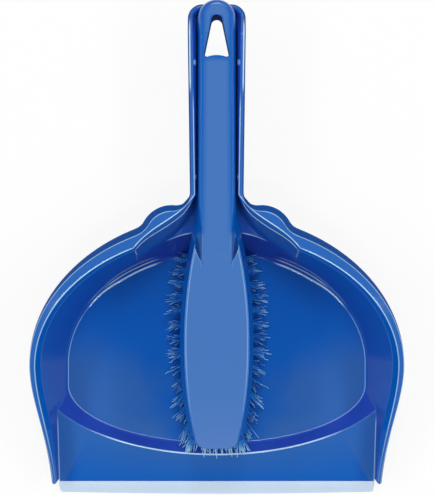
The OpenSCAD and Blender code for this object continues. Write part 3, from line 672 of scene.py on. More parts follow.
# %% Rings on the floor, and the bevel at the foot of the wall
FLOOR_MIDDLE = np.array([0, -80, 0])
FLOOR_INWARD = (0.85, 0.5, 0.12)
BEVEL_IN, BEVEL_UP, BACK_BEVEL_IN, BACK_BEVEL_UP = 0.9, 1.2, 1.3, 1
floor_core, floor_mid, floor_top = (lerp(foot, FLOOR_MIDDLE + [0, 0, FLOOR_T], inward)
                                    for inward in FLOOR_INWARD)
floor_under = lerp(foot_under, FLOOR_MIDDLE, FLOOR_INWARD[-1])


def towards(ring, other, distance):
    run = other - ring
    return ring + run / np.linalg.norm(run, axis=1, keepdims=True) * np.reshape(distance, (-1, 1))


# The bevel is wider at the back, where its two edges draw two lines
at_back = np.where(COLUMN > I_FLANK, window(foot[:, 0], 34, 70, 18), 0)
foot_in = towards(foot, floor_top, BEVEL_IN + BACK_BEVEL_IN * at_back)
foot_up = towards(foot, crest, BEVEL_UP + BACK_BEVEL_UP * at_back)
print("foot bevel", np.linalg.norm(foot_up - foot_in, axis=1).mean().round(2), "mm wide")

# %% [markdown]
# ### Where the edges shine
# Sharp edges of a polished mould catch every lamp. A render of the radii alone gives only a faint line, so
# the white line along an edge is a painted highlight, a pale tone laid into the colour. Every ring gets a
# shine for each of its columns, from 0 to 1, which sets that painted highlight and comes and goes along the
# edge.

# %% Stretches along the pan
NONE = np.zeros(len(COLUMN))
in_front = COLUMN <= I_CREST
on_flank = COLUMN < I_FLANK
on_grip = ease(share(COLUMN, I_SHOULDER - 12, I_SHOULDER))
at_notch = window(COLUMN, I_BACK - 1, I_BACK + 1, 4)
at_shoulder = window(COLUMN, I_BACK + 2, I_SHOULDER - 10, 8)
in_throat = ease(share(COLUMN, I_SHOULDER - 45, I_SHOULDER - 15))
past_pocket = ease(share(COLUMN, I_SHOULDER - 20, I_SHOULDER))
in_pocket = ease(share(COLUMN, I_BACK - 6, I_BACK + 10)) * (1 - past_pocket)
print("shoulder from column", I_BACK, "to", I_SHOULDER)

# %% Shine of the edges
# Foot of the wall: two lines at the back, and a fainter one in front and at the sides
foot_back, foot_low = (np.where(in_front, 0, window(foot[:, 0], 40, far, 8)) for far in (72, 84))
foot_front = np.where(on_flank, lerp(0.2, 0.45, ease(share(foot[:, 0], 50, 75))),
                      0.45 * ease(share(foot[:, 0], 84, 92)))
# Crest of the ramp, and a short line over the throat
crest_shine = np.where(in_front, 1 - ease(share(crest[:, 0], 62, 86)),
                       0.6 * window(crest[:, 0], 17, 31, 5) * (crest[:, 1] > 5))
ramp_side_shine = 0.5 * window(COLUMN, I_FRONT, I_CREST - 6, 6)
band_shine = 0.1 * window(COLUMN, I_CREST, I_BACK, 30) + at_shoulder
# Rim: brightest behind, fading at the ears, at the notches and half way up the handle
side_shine = lerp(0.55, 0.95, ease(share(rim[:, 1], -70, -10)))
grip_shine = 0.75 * ease(share(rim[:, 1], 104, 88))
ear_fade = 0.25 + 0.75 * ease(share(rim[:, 1], EAR_Y + 8, EAR_Y + 45))
rim_shine = np.where(COLUMN < I_FRONT, 0, lerp(side_shine, grip_shine, on_grip)) * (1 - 0.7 * at_notch)
rim_shine *= np.where(on_flank, ear_fade, 1)
flange_shine = lerp(0.5, window(flange[:, 1], 104, 146, 8), on_grip)
print("mean shine of the rim", rim_shine.mean().round(2))

# %% [markdown]
# ### Skin of the pan
# Each ring now gets its radius and its tones. The corner at the shoulder pocket has a wide radius, so that
# the wall flows into the throat; the others are tight. The tones say how far the skin beyond the ring takes a
# painted shade on deep walls, a painted light on tops and floor, or a matt finish with a darker painted
# shade, and they blend round each corner with its curve.

# %% Radii and tones of the rings
pocket_cut = lerp(1.2, 9.0, in_pocket)
# Painted shade: the deep walls, the risers, the throat and the channel's chamfer get a darker, more violet
# tone
wall_depth = lerp(np.where(in_front, 0.6, 0.25), 0.3, in_pocket) * (1 - 0.4 * on_grip)
riser_depth = lerp(np.where(in_front, 0.9, 0.35), 1, in_pocket)
ramp_depth = np.where(in_front, 0, 0.35)
# Painted light: the ramp, the shoulder and the flange get a paler tone
ramp_wear = np.where(in_front, 0.8, 0)
shoulder_wear = 0.6 * at_shoulder
chamfer_depth = 0.8 * on_grip
FLANGE_WEAR = 0.7
# Each ring, the length in mm by which its corner is cut back to make its radius, the shine of its edge (a
# painted highlight), and how far the skin beyond it takes painted wall shade, painted light, and matt with
# painted shade
pan_rings = [
    (floor_core, 0, NONE, 0, 0, 0),
    (floor_mid, 3, NONE, 0, 0, 0),
    (floor_top, 1, NONE, 0, 0, 0),
    (foot_in, lerp(0.4, 0.85, foot_low), np.maximum(foot_low, foot_front), riser_depth, 0, 0),
    (foot_up, lerp(0.4, 0.85, foot_back), foot_back, riser_depth, 0, 0),
    # Beyond the crest, the throat gets the matt tone as a darker painted shade
    (crest, 0.8, crest_shine, ramp_depth, ramp_wear, in_throat),
    (junction, pocket_cut, ramp_side_shine, wall_depth, shoulder_wear, 0),
    (band, 0.6, band_shine, chamfer_depth, shoulder_wear, 0),
    (rim, 0.55, rim_shine, 0, FLANGE_WEAR, 0),
    (flange, lerp(0.5, 0.8, on_grip), flange_shine, 0, 0, 1),
    *[(ring, cut, NONE, 0, 0, 1) for ring, cut in (
        (skirt, 0.5), (skirt_under, 0.4), (flange_under, 0.6), (rim_under, 0.8), (band_under, 1.0),
        (junction_under, pocket_cut), (crest_under, 2.0), (foot_under, 1.2), (floor_under, 0))]]
rings, cuts, shines, deep_beyond, scuffed_beyond, matt_beyond = zip(*pan_rings)
half_rows, corner_of, turned = rounded(np.array(rings), cuts, closed=False)
print(len(rings), "rings, rounded to", len(half_rows), "rows")

# %% Both halves of the skin
FOOT_CORNER = 3


def both_halves(half):
    return np.concatenate([half, half[:, -2:0:-1]], axis=1)


def across(beyond):
    """Value of each row, between those of the skin before and beyond its corner."""
    beyond = np.array([value + NONE for value in beyond])
    before = beyond[np.maximum(corner_of - 1, 0)]
    return both_halves(lerp(before, beyond[corner_of], turned[:, None]))


loops = both_halves(half_rows)
loops[:, len(COLUMN):, 0] *= -1

# Painted light makes the floor paler on both sides of the brush, in a wedge that widens to the front
WEDGE_X, WEDGE_Y, WEDGE_FADE, WEDGE_SOFT = (58, 28), (-61, -123), (-40, -80), 26
on_floor = (corner_of < FOOT_CORNER) | ((corner_of == FOOT_CORNER) & (turned == 0))
beside, back = np.abs(loops[..., 0]), loops[..., 1]
wedge_x = lerp(*WEDGE_X, share(back, *WEDGE_Y))
wedge = ease((beside - wedge_x) / WEDGE_SOFT + 0.5) * ease(share(back, *WEDGE_FADE))
floor_wear = wedge * on_floor[:, None]

# The pan's values: painted highlight on edges, painted wall shade, painted light, and matt with painted shade
pan = solid("pan", loops, tube_faces(*loops.shape[:2]),
            polished_edge=both_halves(hump(turned)[:, None] * np.array(shines)[corner_of]),
            deep_wall=across(deep_beyond), scuffed_top=np.maximum(across(scuffed_beyond), floor_wear),
            matt_outside=across(matt_beyond))
print("pan skin:", loops.shape[0], "rings of", loops.shape[1], "points")

# %% [markdown]
# ### Front edge and hang hole
# The skin is a closed tub, whose front is now cut off: round ears at the ends of the side walls, and between
# them the ramp, whose edge is thinned to a tongue for the lip. The hang hole is a rounded wedge with an
# arched lower edge. Shaping the rings round these would bend the whole grid, so they are cut.

# %% Cut the front and the tongue
OVERCUT, BEYOND_X, BEYOND_FRONT, ABOVE = 5, 130, 20, 70
EAR_R = 2.2
EAR_X, EAR_C = EAR_HW + EAR_R * 0.6, EAR_Y + EAR_R
half_front = np.concatenate([
    [(BEYOND_X, TUB_Y - BEYOND_FRONT), (BEYOND_X, EAR_C)],
    arc((EAR_X, EAR_C), EAR_R, np.linspace(0, -180, 25)),
    [(RAMP_HW, EAR_C - 0.01), (RAMP_HW, FRONT_Y)]])
carve(pan, prism(np.concatenate([half_front, half_front[::-1] * [-1, 1]]), -OVERCUT, ABOVE))

TONGUE_T, TONGUE_Y, TONGUE_SPARE = 1.2, FRONT_Y + 3.8, 0.2
tongue = np.array([
    (TUB_Y, ramp_z(TUB_Y) - TONGUE_T), (TONGUE_Y, ramp_z(TONGUE_Y) - TONGUE_T), (TONGUE_Y, -OVERCUT),
    (TUB_Y, -OVERCUT)])
slab_hw = RAMP_HW + TONGUE_SPARE
slab = np.array([stack(x, tongue[:, 0], tongue[:, 1]) for x in (-slab_hw, slab_hw)])
carve(pan, solid("cutter", slab, tube_faces(2, len(tongue))))
print("ears", 2 * EAR_R, "mm wide, tongue", TONGUE_T, "mm thick")

# %% Cut the hang hole
HOLE_Y, HOLE_LEN, HOLE_HW, HOLE_R, HOLE_CORNER, HOLE_ARCH, HOLE_FIT = 122.8, 26, 7.8, 3.5, 2, 1, 0.4


def hole_outline(grow):
    """Wedge with a round top and round corners, as the outline round three circles, and an arched foot."""
    top, foot_x = HOLE_Y + HOLE_LEN - HOLE_R, HOLE_HW - HOLE_CORNER
    low = np.array([foot_x, HOLE_Y + HOLE_CORNER])
    slant = np.array([0, top]) - low
    lean = np.degrees(np.arcsin((HOLE_R - HOLE_CORNER) / np.linalg.norm(slant)))
    face = np.degrees(np.arctan2(slant[1], slant[0])) - 90 - lean
    right = np.concatenate([arc(low, HOLE_CORNER + grow, np.linspace(-90, face, 13)),
                            arc((0, top), HOLE_R + grow, np.linspace(face, 90, 15))])
    x = np.linspace(-foot_x, foot_x, 13)[1:-1]
    arch = stack(x, HOLE_Y - grow + HOLE_ARCH * (1 - (x / foot_x) ** 2))
    return np.concatenate([right, right[-2::-1] * [-1, 1], arch])


carve(pan, prism(hole_outline(HOLE_FIT), CHANNEL_Z - WALL_T - OVERCUT, CHANNEL_Z + OVERCUT))
dress(pan, pan_polypropylene, "pan", "pan_plastic", "dustpan")

# %% [markdown]
# ### Nubs in the channel
# Four low cones on the channel walls hold the brush handle down. A cone from Blender's own list would have a
# sharp tip, so each is a few rings round its axis, with a rounded tip. They are made paler with painted light
# and a faint painted highlight all over.

# %% Nubs
NUB_YS, NUB_Z, NUB_PALE = (49, 120), RIM_Z - 2.6, 0.2
STOCK_HW, PLAY = 12.4, 0.3
# Each ring's share of the way from the wall to the tip, and its radius
NUB_RINGS = [(0, 2.5), (0.7, 2.2), (0.88, 2), (0.97, 1.6), (1, 1.1)]
circle = np.radians(np.arange(0, 360, 15))
nub_rings, nub_faces = [], []
for y in NUB_YS:
    wall_x = lerp(ROOT_HW, END_HW, share(y, RIM_ROOT_Y, RIM_END_Y - END_R)) + WALL_T * 0.6
    for side in (-1, 1):
        nub_faces += tube_faces(len(NUB_RINGS), len(circle), start=len(nub_rings) * len(circle))
        for u, r in NUB_RINGS:
            x = side * lerp(wall_x, STOCK_HW + PLAY, u)
            nub_rings.append(stack(x, y + r * np.cos(circle), NUB_Z + r * np.sin(circle)))
every_point = np.ones(len(nub_rings) * len(circle))
nubs = solid("channel_nubs", np.array(nub_rings), nub_faces, scuffed_top=every_point,
             polished_edge=NUB_PALE * every_point)
dress(nubs, pan_polypropylene, "pan", "pan_plastic")

# %% [markdown]
# ## The soft lip
# The lip grips the tongue like a clip and reaches forward to a thin edge that bends onto the floor. A profile
# swept along a curve would keep one section. Here the section is drawn once and carried across the pan, and
# only its front points move, to bow the edge and round its corners.

# %% Lip
LIP_HW, LIP_REACH, LIP_BOW, LIP_TOP, LIP_FIT, LIP_CORNER = 103.3, 5, 1.2, 0.9, 0.05, 2
LIP_BOTTOM, LIP_TIP_T = 0.2, 0.9
LIP_CUTS = [0.3, 0.3, 0.2, 0.1, 0.1, 0.1, 0.35, 1.2, 0.35]
slot_y, back_y = FRONT_Y - LIP_FIT, TONGUE_Y - 2 * LIP_FIT
corner_x = LIP_HW - LIP_CORNER
corner = corner_x + LIP_CORNER * np.sin(np.radians(np.linspace(0, 90, 10)))
lip_x = np.concatenate([-corner[::-1], np.linspace(-corner_x, corner_x, 61)[1:-1], corner])
into_corner = np.maximum(0, np.abs(lip_x) - corner_x)
lip_front = (FRONT_Y - LIP_REACH + LIP_BOW * np.clip(lip_x / corner_x, -1, 1) ** 2
             + LIP_CORNER - np.sqrt(np.maximum(0, LIP_CORNER ** 2 - into_corner ** 2)))
under_slot = [stack(lip_x, y, ramp_z(y) - TONGUE_T - LIP_FIT) for y in (back_y, slot_y)]
over_slot = [stack(lip_x, y, ramp_z(y) + LIP_FIT) for y in (slot_y, TONGUE_Y)]
top = [stack(lip_x, y, ramp_z(y) + LIP_TOP) for y in (TONGUE_Y, slot_y)]
lip_section = [
    stack(lip_x, lip_front, LIP_BOTTOM), stack(lip_x, back_y, LIP_BOTTOM), *under_slot, *over_slot, *top,
    stack(lip_x, lip_front, LIP_BOTTOM + LIP_TIP_T)]
lip_rows, _, _ = rounded(np.array(lip_section), LIP_CUTS, closed=True)
loops = lip_rows.transpose(1, 0, 2)
lip = solid("soft_lip_strip", loops, tube_faces(*loops.shape[:2]))
dress(lip, soft_rubber, "pan", "lip_rubber", "soft_lip")

# %% [markdown]
# ## The brush stock
# The stock is one moulding: a domed handle with a flat crown and a round nose, and a flat-topped head. Behind
# the head, its two edges run out into the sides of the handle as pointed fangs. A subdivided box could be
# pulled to that shape, but its fangs would wobble. So the half section is worked out at many places along the
# stock and mirrored. Round the nose it turns about an upright axis, so that the dome goes round the end too.

# %% Sizes of the stock
NOSE_Y, BRUSH_LEN, CROWN_HW = 160, 280, 8
STOCK_Z, CROWN_Z = CHANNEL_Z + PLAY, CHANNEL_Z + 22
HEAD_TOP = CROWN_Z + 1
HEAD_Z = HEAD_TOP - 18
HEAD_END_Y, HEAD_WIDE_Y, HEAD_LEVEL_Y = NOSE_Y - BRUSH_LEN, -52, -6
HEAD_HW, HEAD_FRONT_HW, HEAD_SIDE, HEAD_CORNER, HEAD_EDGE = 20, 12.1, 3.2, 8, (1, 0.5)
FLARE_Y, FANG_Y, FANG_HW, FANG_FALL = 36, 5.4, 14, 1.5
RIDGE_Y, RIDGE_W, VALLEY_Y = 17, 0.6, -4.8
print("brush", BRUSH_LEN, "mm long, head", 2 * (HEAD_HW + HEAD_SIDE), "mm wide")

# %% Half sections of the handle
DOME = np.radians([90, 83, 76, 69, 62, 56, 50, 46, 42, 35, 28, 21, 14, 7, 0])
FULL_DOME, FLARE_DOME, FLARE_EXPONENT = 0.7, 2, 1.3


def crown_at(y):
    return CROWN_HW + ease(share(y, NOSE_Y, FANG_Y))


def flare_side(y):
    t = np.clip(share(y, FLARE_Y, FANG_Y), 0, 1)
    return lerp(STOCK_HW, FANG_HW + HEAD_SIDE, t ** FLARE_EXPONENT)


def base_z(y):
    return lerp(STOCK_Z, HEAD_Z, ease(share(y, FLARE_Y, FANG_Y)))


def dome(y, inset=0.0):
    """Half sections of the handle: half-width and height, from the base to the edge of the crown."""
    bow = lerp(FULL_DOME, FLARE_DOME, ease(share(y, FLARE_Y, FANG_Y)))[:, None]
    side, crown, base = (size[:, None] - inset for size in (flare_side(y), crown_at(y), base_z(y)))
    x = crown + (side - crown) * np.sin(DOME) ** bow
    return x, lerp(base, CROWN_Z - inset, np.maximum(0, np.cos(DOME)) ** bow)


print("handle section of", len(DOME), "corners")

# %% Half sections of the head
CLIMB, CLIMB_LAG = np.array([0.18, 0.36, 0.54, 0.72, 0.88]), 0.95
TO_CROWN = np.linspace(0, 1, 6)
HEAD_FRONT_EXPONENT, CROWN_SHARE, VALLEY_DRAFT, VALLEY_OPENING = 2.25, 0.7, 0.8, 2.5
# Places of the top edge, the fang, the valley and the crown in a section
I_TOP = len(CLIMB) + 1
I_EDGE, I_FANG, I_VALLEY = I_TOP + 1, I_TOP + 2, I_TOP + 3
I_CROWN = I_FANG + len(TO_CROWN)


def head_top_hw(y):
    behind = lerp(HEAD_HW, FANG_HW, np.maximum(0, share(y, HEAD_WIDE_Y, FANG_Y)) ** 2)
    forward = np.maximum(0, share(y, HEAD_WIDE_Y, HEAD_END_Y)) ** HEAD_FRONT_EXPONENT
    return np.where(y > HEAD_WIDE_Y, behind, lerp(HEAD_HW, HEAD_FRONT_HW, forward))


def head_half(y):
    """Half sections of the head. Behind, its flat top ends in fangs, each parted from the crown by a valley,
    and each fang's ridge runs on down the flare of the handle."""
    behind = y > FANG_Y
    fang_share = share(FANG_HW, crown_at(FANG_Y), FANG_HW + HEAD_SIDE)
    top = np.where(behind, lerp(crown_at(y), flare_side(y), fang_share), head_top_hw(y))
    base, low = np.where(behind, flare_side(y), head_top_hw(y) + HEAD_SIDE), base_z(y)
    z = HEAD_TOP - FANG_FALL * np.maximum(0, share(y, VALLEY_Y, FANG_Y)) ** 2
    crown = np.where(behind, crown_at(y), np.minimum(crown_at(y), top * CROWN_SHARE))
    crown_h = lerp(HEAD_TOP, CROWN_Z, ease(share(y, HEAD_LEVEL_Y, FANG_Y)))
    opening = np.clip(share(y, VALLEY_Y, FANG_Y), 0, 1)
    fang = np.maximum(crown + RIDGE_W, lerp(crown, top - RIDGE_W, opening))
    valley = lerp(crown, fang, VALLEY_DRAFT)
    side_h = lerp(crown_h, low, (valley - crown) / (base - crown))
    valley_h = lerp(z, side_h, np.clip(VALLEY_OPENING * opening, 0, 1))
    edge = np.minimum(HEAD_EDGE[0], (top - fang) / 2)
    x = [base, *[lerp(base, top, c) for c in CLIMB], top, top - edge, fang,
         *[lerp(valley, crown, u) for u in TO_CROWN]]
    h = [low, *[lerp(low, z, c * CLIMB_LAG) for c in CLIMB], z - HEAD_EDGE[1], z, z,
         *[lerp(valley_h, crown_h, u) for u in TO_CROWN]]
    return np.stack(x, -1), np.stack(h, -1)


print("head section of", I_CROWN + 1, "corners")

# %% Columns of the nose, the handle and the head
NOSE_C, NOSE_SHARE = NOSE_Y - STOCK_HW, 0.985
nose_turn = np.radians(np.linspace(90, 0, 25))[:-1, None]
nose_r, nose_h = dome(np.array([NOSE_C]))
nose = stack(nose_r * np.cos(nose_turn), NOSE_C + NOSE_SHARE * nose_r * np.sin(nose_turn), nose_h)

handle_y = np.concatenate([np.linspace(NOSE_C, FLARE_Y, 25)[:-1], np.linspace(FLARE_Y, FANG_Y, 41)[:-1]])
fade = ease(share(handle_y, FANG_Y, RIDGE_Y))[:, None]
handle_x, handle_h = (lerp(f, d, fade) for f, d in zip(head_half(handle_y), dome(handle_y)))
head_y = np.concatenate([np.linspace(FANG_Y, HEAD_LEVEL_Y, 57)[:-1],
                         np.linspace(HEAD_LEVEL_Y, HEAD_END_Y + HEAD_CORNER, 50)])
head_x, head_h = head_half(head_y)
print(len(nose), "columns round the nose,", len(handle_y), "on the handle,", len(head_y), "on the head")

# %% Columns of the front of the head
# Its corners are quarter ellipses, its face leans back, and its top gathers to the middle line
FRONT_LEAN, GATHER_START = 1.2, 0.04
corner_turn = np.radians(np.linspace(0, 90, 17))[1:, None]
inner_x = head_x[-1, 0] - HEAD_CORNER - HEAD_SIDE
inner_y = HEAD_END_Y + HEAD_CORNER
inset = head_x[-1, 0] - head_x[-1, :I_FANG]
corner_x = inner_x + (HEAD_CORNER + HEAD_SIDE - inset) * np.cos(corner_turn)
corner_y = inner_y - (HEAD_CORNER - inset * FRONT_LEAN / HEAD_SIDE) * np.sin(corner_turn)
face_x = inner_x * np.linspace(1, 0, 9)[1:, None] * np.ones(I_FANG)
face_y = np.broadcast_to(corner_y[-1], face_x.shape)
rim_x, rim_y = np.vstack([corner_x, face_x]), np.vstack([corner_y, face_y])
gather = np.linspace(0, 1, len(rim_x) + 1)[1:, None]
inward = np.linspace(GATHER_START, 1, len(TO_CROWN) + 1)
top_x = lerp(rim_x[:, [I_EDGE]], head_x[-1, -1] * (1 - gather), inward)
top_y = lerp(rim_y[:, [I_EDGE]], inner_y, inward)
front = stack(np.hstack([rim_x, top_x]), np.hstack([rim_y, top_y]), head_h[-1])

right = np.concatenate([nose, stack(handle_x, handle_y[:, None], handle_h),
                        stack(head_x, head_y[:, None], head_h), front]).transpose(1, 0, 2)
print("stock:", right.shape[1], "columns")

# %% Painted highlight and painted light of the stock
column_y = right[0, :, 1]
to_tip = ease(share(column_y, FANG_Y + 2.5, FANG_Y - 0.5))
shine, scuffed = np.zeros(right.shape[:2]), np.zeros(right.shape[:2])
# Painted light makes the flat top of the head, the pockets behind the fangs and the crown of the handle paler
scuffed[I_EDGE] = to_tip
scuffed[I_FANG:I_CROWN] = ease(share(column_y, VALLEY_Y + 0.5, VALLEY_Y - 1))
scuffed[I_VALLEY:I_CROWN] += 0.9 * window(column_y, VALLEY_Y + 1, 14, 5)
scuffed[I_CROWN] = 1
# A painted highlight makes the edges of the head pale, less towards its front
shine[I_TOP:I_FANG] = 0.45 * to_tip * ease(share(column_y, HEAD_END_Y, HEAD_END_Y + 60))
shine[I_FANG] = 0.5 * to_tip * ease(share(column_y, VALLEY_Y - 2, VALLEY_Y))
print("scuffed share of the stock", scuffed.mean().round(2))

# %% Skin of the stock
BASE_CUT, HANDLE_CUT = 0.8, 3.0
head_cuts = [BASE_CUT, *[2.0] * len(CLIMB), 0.4, 0.5, 0.35, 0.5, *[2.0] * (len(TO_CROWN) - 2), 1.5]
on_handle = np.arange(right.shape[1]) < len(nose) + len(handle_y)
cuts = [np.where(on_handle, BASE_CUT if k == 0 else HANDLE_CUT, c) for k, c in enumerate(head_cuts)]
section = np.concatenate([right[::-1] * [-1, 1, 1], right])
stock_rows, corner_of, turned = rounded(section, cuts[::-1] + cuts, closed=True)
edge_shine = hump(turned)[:, None] * np.concatenate([shine[::-1], shine])[corner_of]
beyond = np.concatenate([np.roll(scuffed, 1, axis=0)[::-1], scuffed])
beyond[len(right) - 1] = 1
top_wear = lerp(beyond[corner_of - 1], beyond[corner_of], turned[:, None])
loops = stock_rows.transpose(1, 0, 2)
stock = solid("brush_stock", loops, grid_faces(*loops.shape[:2]), polished_edge=edge_shine.T,
              scuffed_top=top_wear.T)
print("stock skin:", loops.shape[0], "sections of", loops.shape[1], "points")

# %% [markdown]
# ### Hollows and holes of the stock
# The nose is undercut to pass over the end of the pan's handle. The handle is hollow underneath, with three
# cross ribs, as a moulding of this size has to be. The head is drilled with a round hole for each tuft. All
# of these are sharp cuts from below, which suit a Boolean better than a change of the skin's grid.

# %% Cut the nose, the hollow and the hang hole
NOSE_CUT_HW, NOSE_CUT_Y, NOSE_GAP = 20, RIM_END_Y - 2, 1
square = np.array([(-NOSE_CUT_HW, NOSE_CUT_Y), (NOSE_CUT_HW, NOSE_CUT_Y), (NOSE_CUT_HW, NOSE_Y + OVERCUT),
                   (-NOSE_CUT_HW, NOSE_Y + OVERCUT)])
carve(stock, prism(square, CHANNEL_Z - OVERCUT, RIM_Z - END_DIP + NOSE_GAP))

STOCK_WALL, RIB_T, BAYS, BAY_SECTIONS = 2.6, 2, 4, 7
HOLLOW_FRONT, HOLLOW_BACK = 34, HOLE_Y - 5
bay = (HOLLOW_BACK - HOLLOW_FRONT - (BAYS - 1) * RIB_T) / BAYS
for k in range(BAYS):
    bay_y = HOLLOW_FRONT + k * (bay + RIB_T) + np.linspace(bay, 0, BAY_SECTIONS)
    x, h = dome(bay_y, STOCK_WALL)
    half = stack(x, bay_y[:, None], h)
    loops = np.concatenate([half * [-1, 1, 1], half[:, ::-1]], axis=1)
    carve(stock, solid("cutter", loops, tube_faces(*loops.shape[:2])))
carve(stock, prism(hole_outline(0), CHANNEL_Z - OVERCUT, CROWN_Z + 2 * OVERCUT))
print(BAYS, "bays of", round(bay, 1), "mm")

# %% Drill the tuft holes
ROWS = {"left_outer": -2, "left_inner": -1, "centre": 0, "right_inner": 1, "right_outer": 2}
FIRST_TUFT_Y, TUFT_PITCH, TUFT_R, ROW_EDGE, ROW_FRONT = -2, 8.1, 1.7, 6, (6, 8, 10)
DRILL_R, DRILL_DEEP, DRILL_START = 2.25, 8, 2


def tufts(row):
    """Plan places of a row's tufts, from the back of the head to its front."""
    y = np.arange(FIRST_TUFT_Y, HEAD_END_Y + ROW_FRONT[abs(row)], -TUFT_PITCH)
    return stack(row / 2 * (head_top_hw(y) + HEAD_SIDE - ROW_EDGE), y)


ring = arc((0, 0), DRILL_R, np.arange(0, 360, 18))
drill_rings, drill_faces = [], []
for row in ROWS.values():
    for x, y in tufts(row):
        drill_faces += tube_faces(2, len(ring), start=len(drill_rings) * len(ring))
        drill_rings += [stack(x + ring[:, 0], y + ring[:, 1], z)
                        for z in (HEAD_Z - DRILL_START, HEAD_Z + DRILL_DEEP)]
carve(stock, solid("cutter", np.array(drill_rings), drill_faces))
dress(stock, stock_polypropylene, "brush", "stock_plastic", "brush_block")

# %% [markdown]
# ## The bristles
# Each tuft is a bundle of filaments, folded in half and driven into its hole. Hair particles could draw them,
# but they don't become a mesh that can be kept. So each filament is a fine tapered tube. They all flare by
# one rule, sideways with their distance from the middle and forward at the front of the head, and each has a
# small curl and length of its own. A filament of 0.2 mm is too fine to show, so it is drawn at about 0.5 mm,
# with fewer of them.

# %% Where a filament goes
SPLAY_SIDE, SPLAY_SIDE_FRONT, SPLAY_FRONT, FLARE_CURVE = 0.9, 0.45, 31, 0.25
FLARE_RUN = HEAD_Z - FLOOR_T


def pan_top(x, y):
    """Height of the floor, the riser or the ramp under a place."""
    foot_line = WIDE_Y - FOOT_STRAIGHT - FOOT_FRONT * np.sqrt(1 - (x / FOOT_HW) ** 2)
    crest_line = WIDE_Y - CREST_FRONT * np.sqrt(1 - (x / CREST_HW) ** 2)
    step = lerp(FLOOR_T, ramp_z(crest_line), (foot_line - y) / (foot_line - crest_line))
    return np.where(y > foot_line, FLOOR_T, np.where(y < crest_line, ramp_z(y), step))


def filament_at(root, z):
    """Plan place, at a height, of a filament that starts at a root in the head."""
    u = np.maximum(0, HEAD_Z - z) / FLARE_RUN
    flare = u * lerp(1, u, FLARE_CURVE)
    forward = share(root[..., 1], FIRST_TUFT_Y, HEAD_END_Y) ** 2
    x = root[..., 0] * (1 + lerp(SPLAY_SIDE, SPLAY_SIDE_FRONT, forward) * flare)
    return x, root[..., 1] - SPLAY_FRONT * forward * flare


print("the flare runs over", FLARE_RUN, "mm")

# %% Lengths and curls of a row's filaments
FILAMENTS, LEVELS, SIDES = 30, 14, 3
TIP_GAP, TIP_ROOM, TIP_SPREAD, SETTLE_PASSES, ROOT_DEEP, ROOT_SPREAD = 0.6, 1.5, 2.5, 16, 4, 1.12
LEAN, CURL, STRAY_CURL, STRAYS, CRIMP, CRIMP_LENGTH = 1.2, 2.8, 4.6, 0.3, 0.5, 7
ROOT_RADIUS, TIP_RADIUS = 0.25, 0.2
chance = np.random.default_rng(20)
level = np.linspace(0, 1, LEVELS)


def anywhere(n, reach):
    """Random steps in plan, up to a reach."""
    return arc((0, 0), reach * np.sqrt(chance.random(n)), 360 * chance.random(n))


def settled_tips(roots):
    """Heights at which filaments stop, just above what is under and in front of their ends."""
    tip = np.full(len(roots), FLOOR_T + TIP_GAP)
    for _ in range(SETTLE_PASSES):
        x, y = filament_at(roots, tip)
        tip = (tip + np.maximum(pan_top(x, y), pan_top(x, y - TIP_ROOM)) + TIP_GAP) / 2
    return tip


def filament_rings(centres):
    """Rings of points of all filaments of the tufts, and the roots of the filaments."""
    n = len(centres) * FILAMENTS
    roots = np.repeat(centres, FILAMENTS, axis=0) + anywhere(n, TUFT_R * ROOT_SPREAD)
    tip = settled_tips(roots) + TIP_SPREAD * chance.random(n) ** 2
    z = lerp(HEAD_Z + ROOT_DEEP, tip[:, None], level)
    x, y = filament_at(roots[:, None], z)
    bend = np.repeat(anywhere(len(centres), LEAN), FILAMENTS, axis=0)
    bend += anywhere(n, np.where(chance.random(n) < STRAYS, STRAY_CURL, CURL))
    phase = chance.random(n)[:, None]
    crimp = np.sin(2 * np.pi * (z / CRIMP_LENGTH + phase))[..., None] * anywhere(n, CRIMP)[:, None]
    middle = stack(x, y) + bend[:, None] * (level ** 2)[:, None] + crimp * level[:, None]
    radius = lerp(ROOT_RADIUS, TIP_RADIUS, level ** 3)[:, None]
    spin = np.radians(360 * chance.random(n)[:, None] + np.arange(SIDES) * 360 / SIDES)[:, None]
    side_x, side_y = radius * np.cos(spin), radius * np.sin(spin)
    return stack(middle[..., :1] + side_x, middle[..., 1:] + side_y, z[..., None]), roots


print(FILAMENTS, "filaments to a tuft")

# %% Bristle rows
WORN_FROM_Y, WORN_FULL_Y = HEAD_END_Y + 24, HEAD_END_Y + 9
for name, row in ROWS.items():
    rings, roots = filament_rings(tufts(row))
    n = len(roots)
    faces = [face for k in range(n) for face in tube_faces(LEVELS, SIDES, start=k * LEVELS * SIDES)]
    # Painted light: the foremost tufts stand clear of the head's shadow, so all their ends are made pale
    shade = np.maximum(chance.random(n), ease(share(roots[:, 1], WORN_FROM_Y, WORN_FULL_Y)))
    bristles = solid("bristles_" + name, rings, faces, toward_tip=np.tile(np.repeat(level, SIDES), n),
                     own_shade=np.repeat(shade, LEVELS * SIDES))
    dress(bristles, drawn_nylon, "brush", "bristle_plastic", "bristle_row_" + name)

# %% [markdown]
# ## Table, light and camera
# The photograph is a plain one on white, taken from straight above. The table is white, and keeps a soft
# shadow: its paper takes light as any paper does, and to the camera and in reflections it is mostly plain
# white. Brighter lamps could whiten it too, but they would bleach the blue.

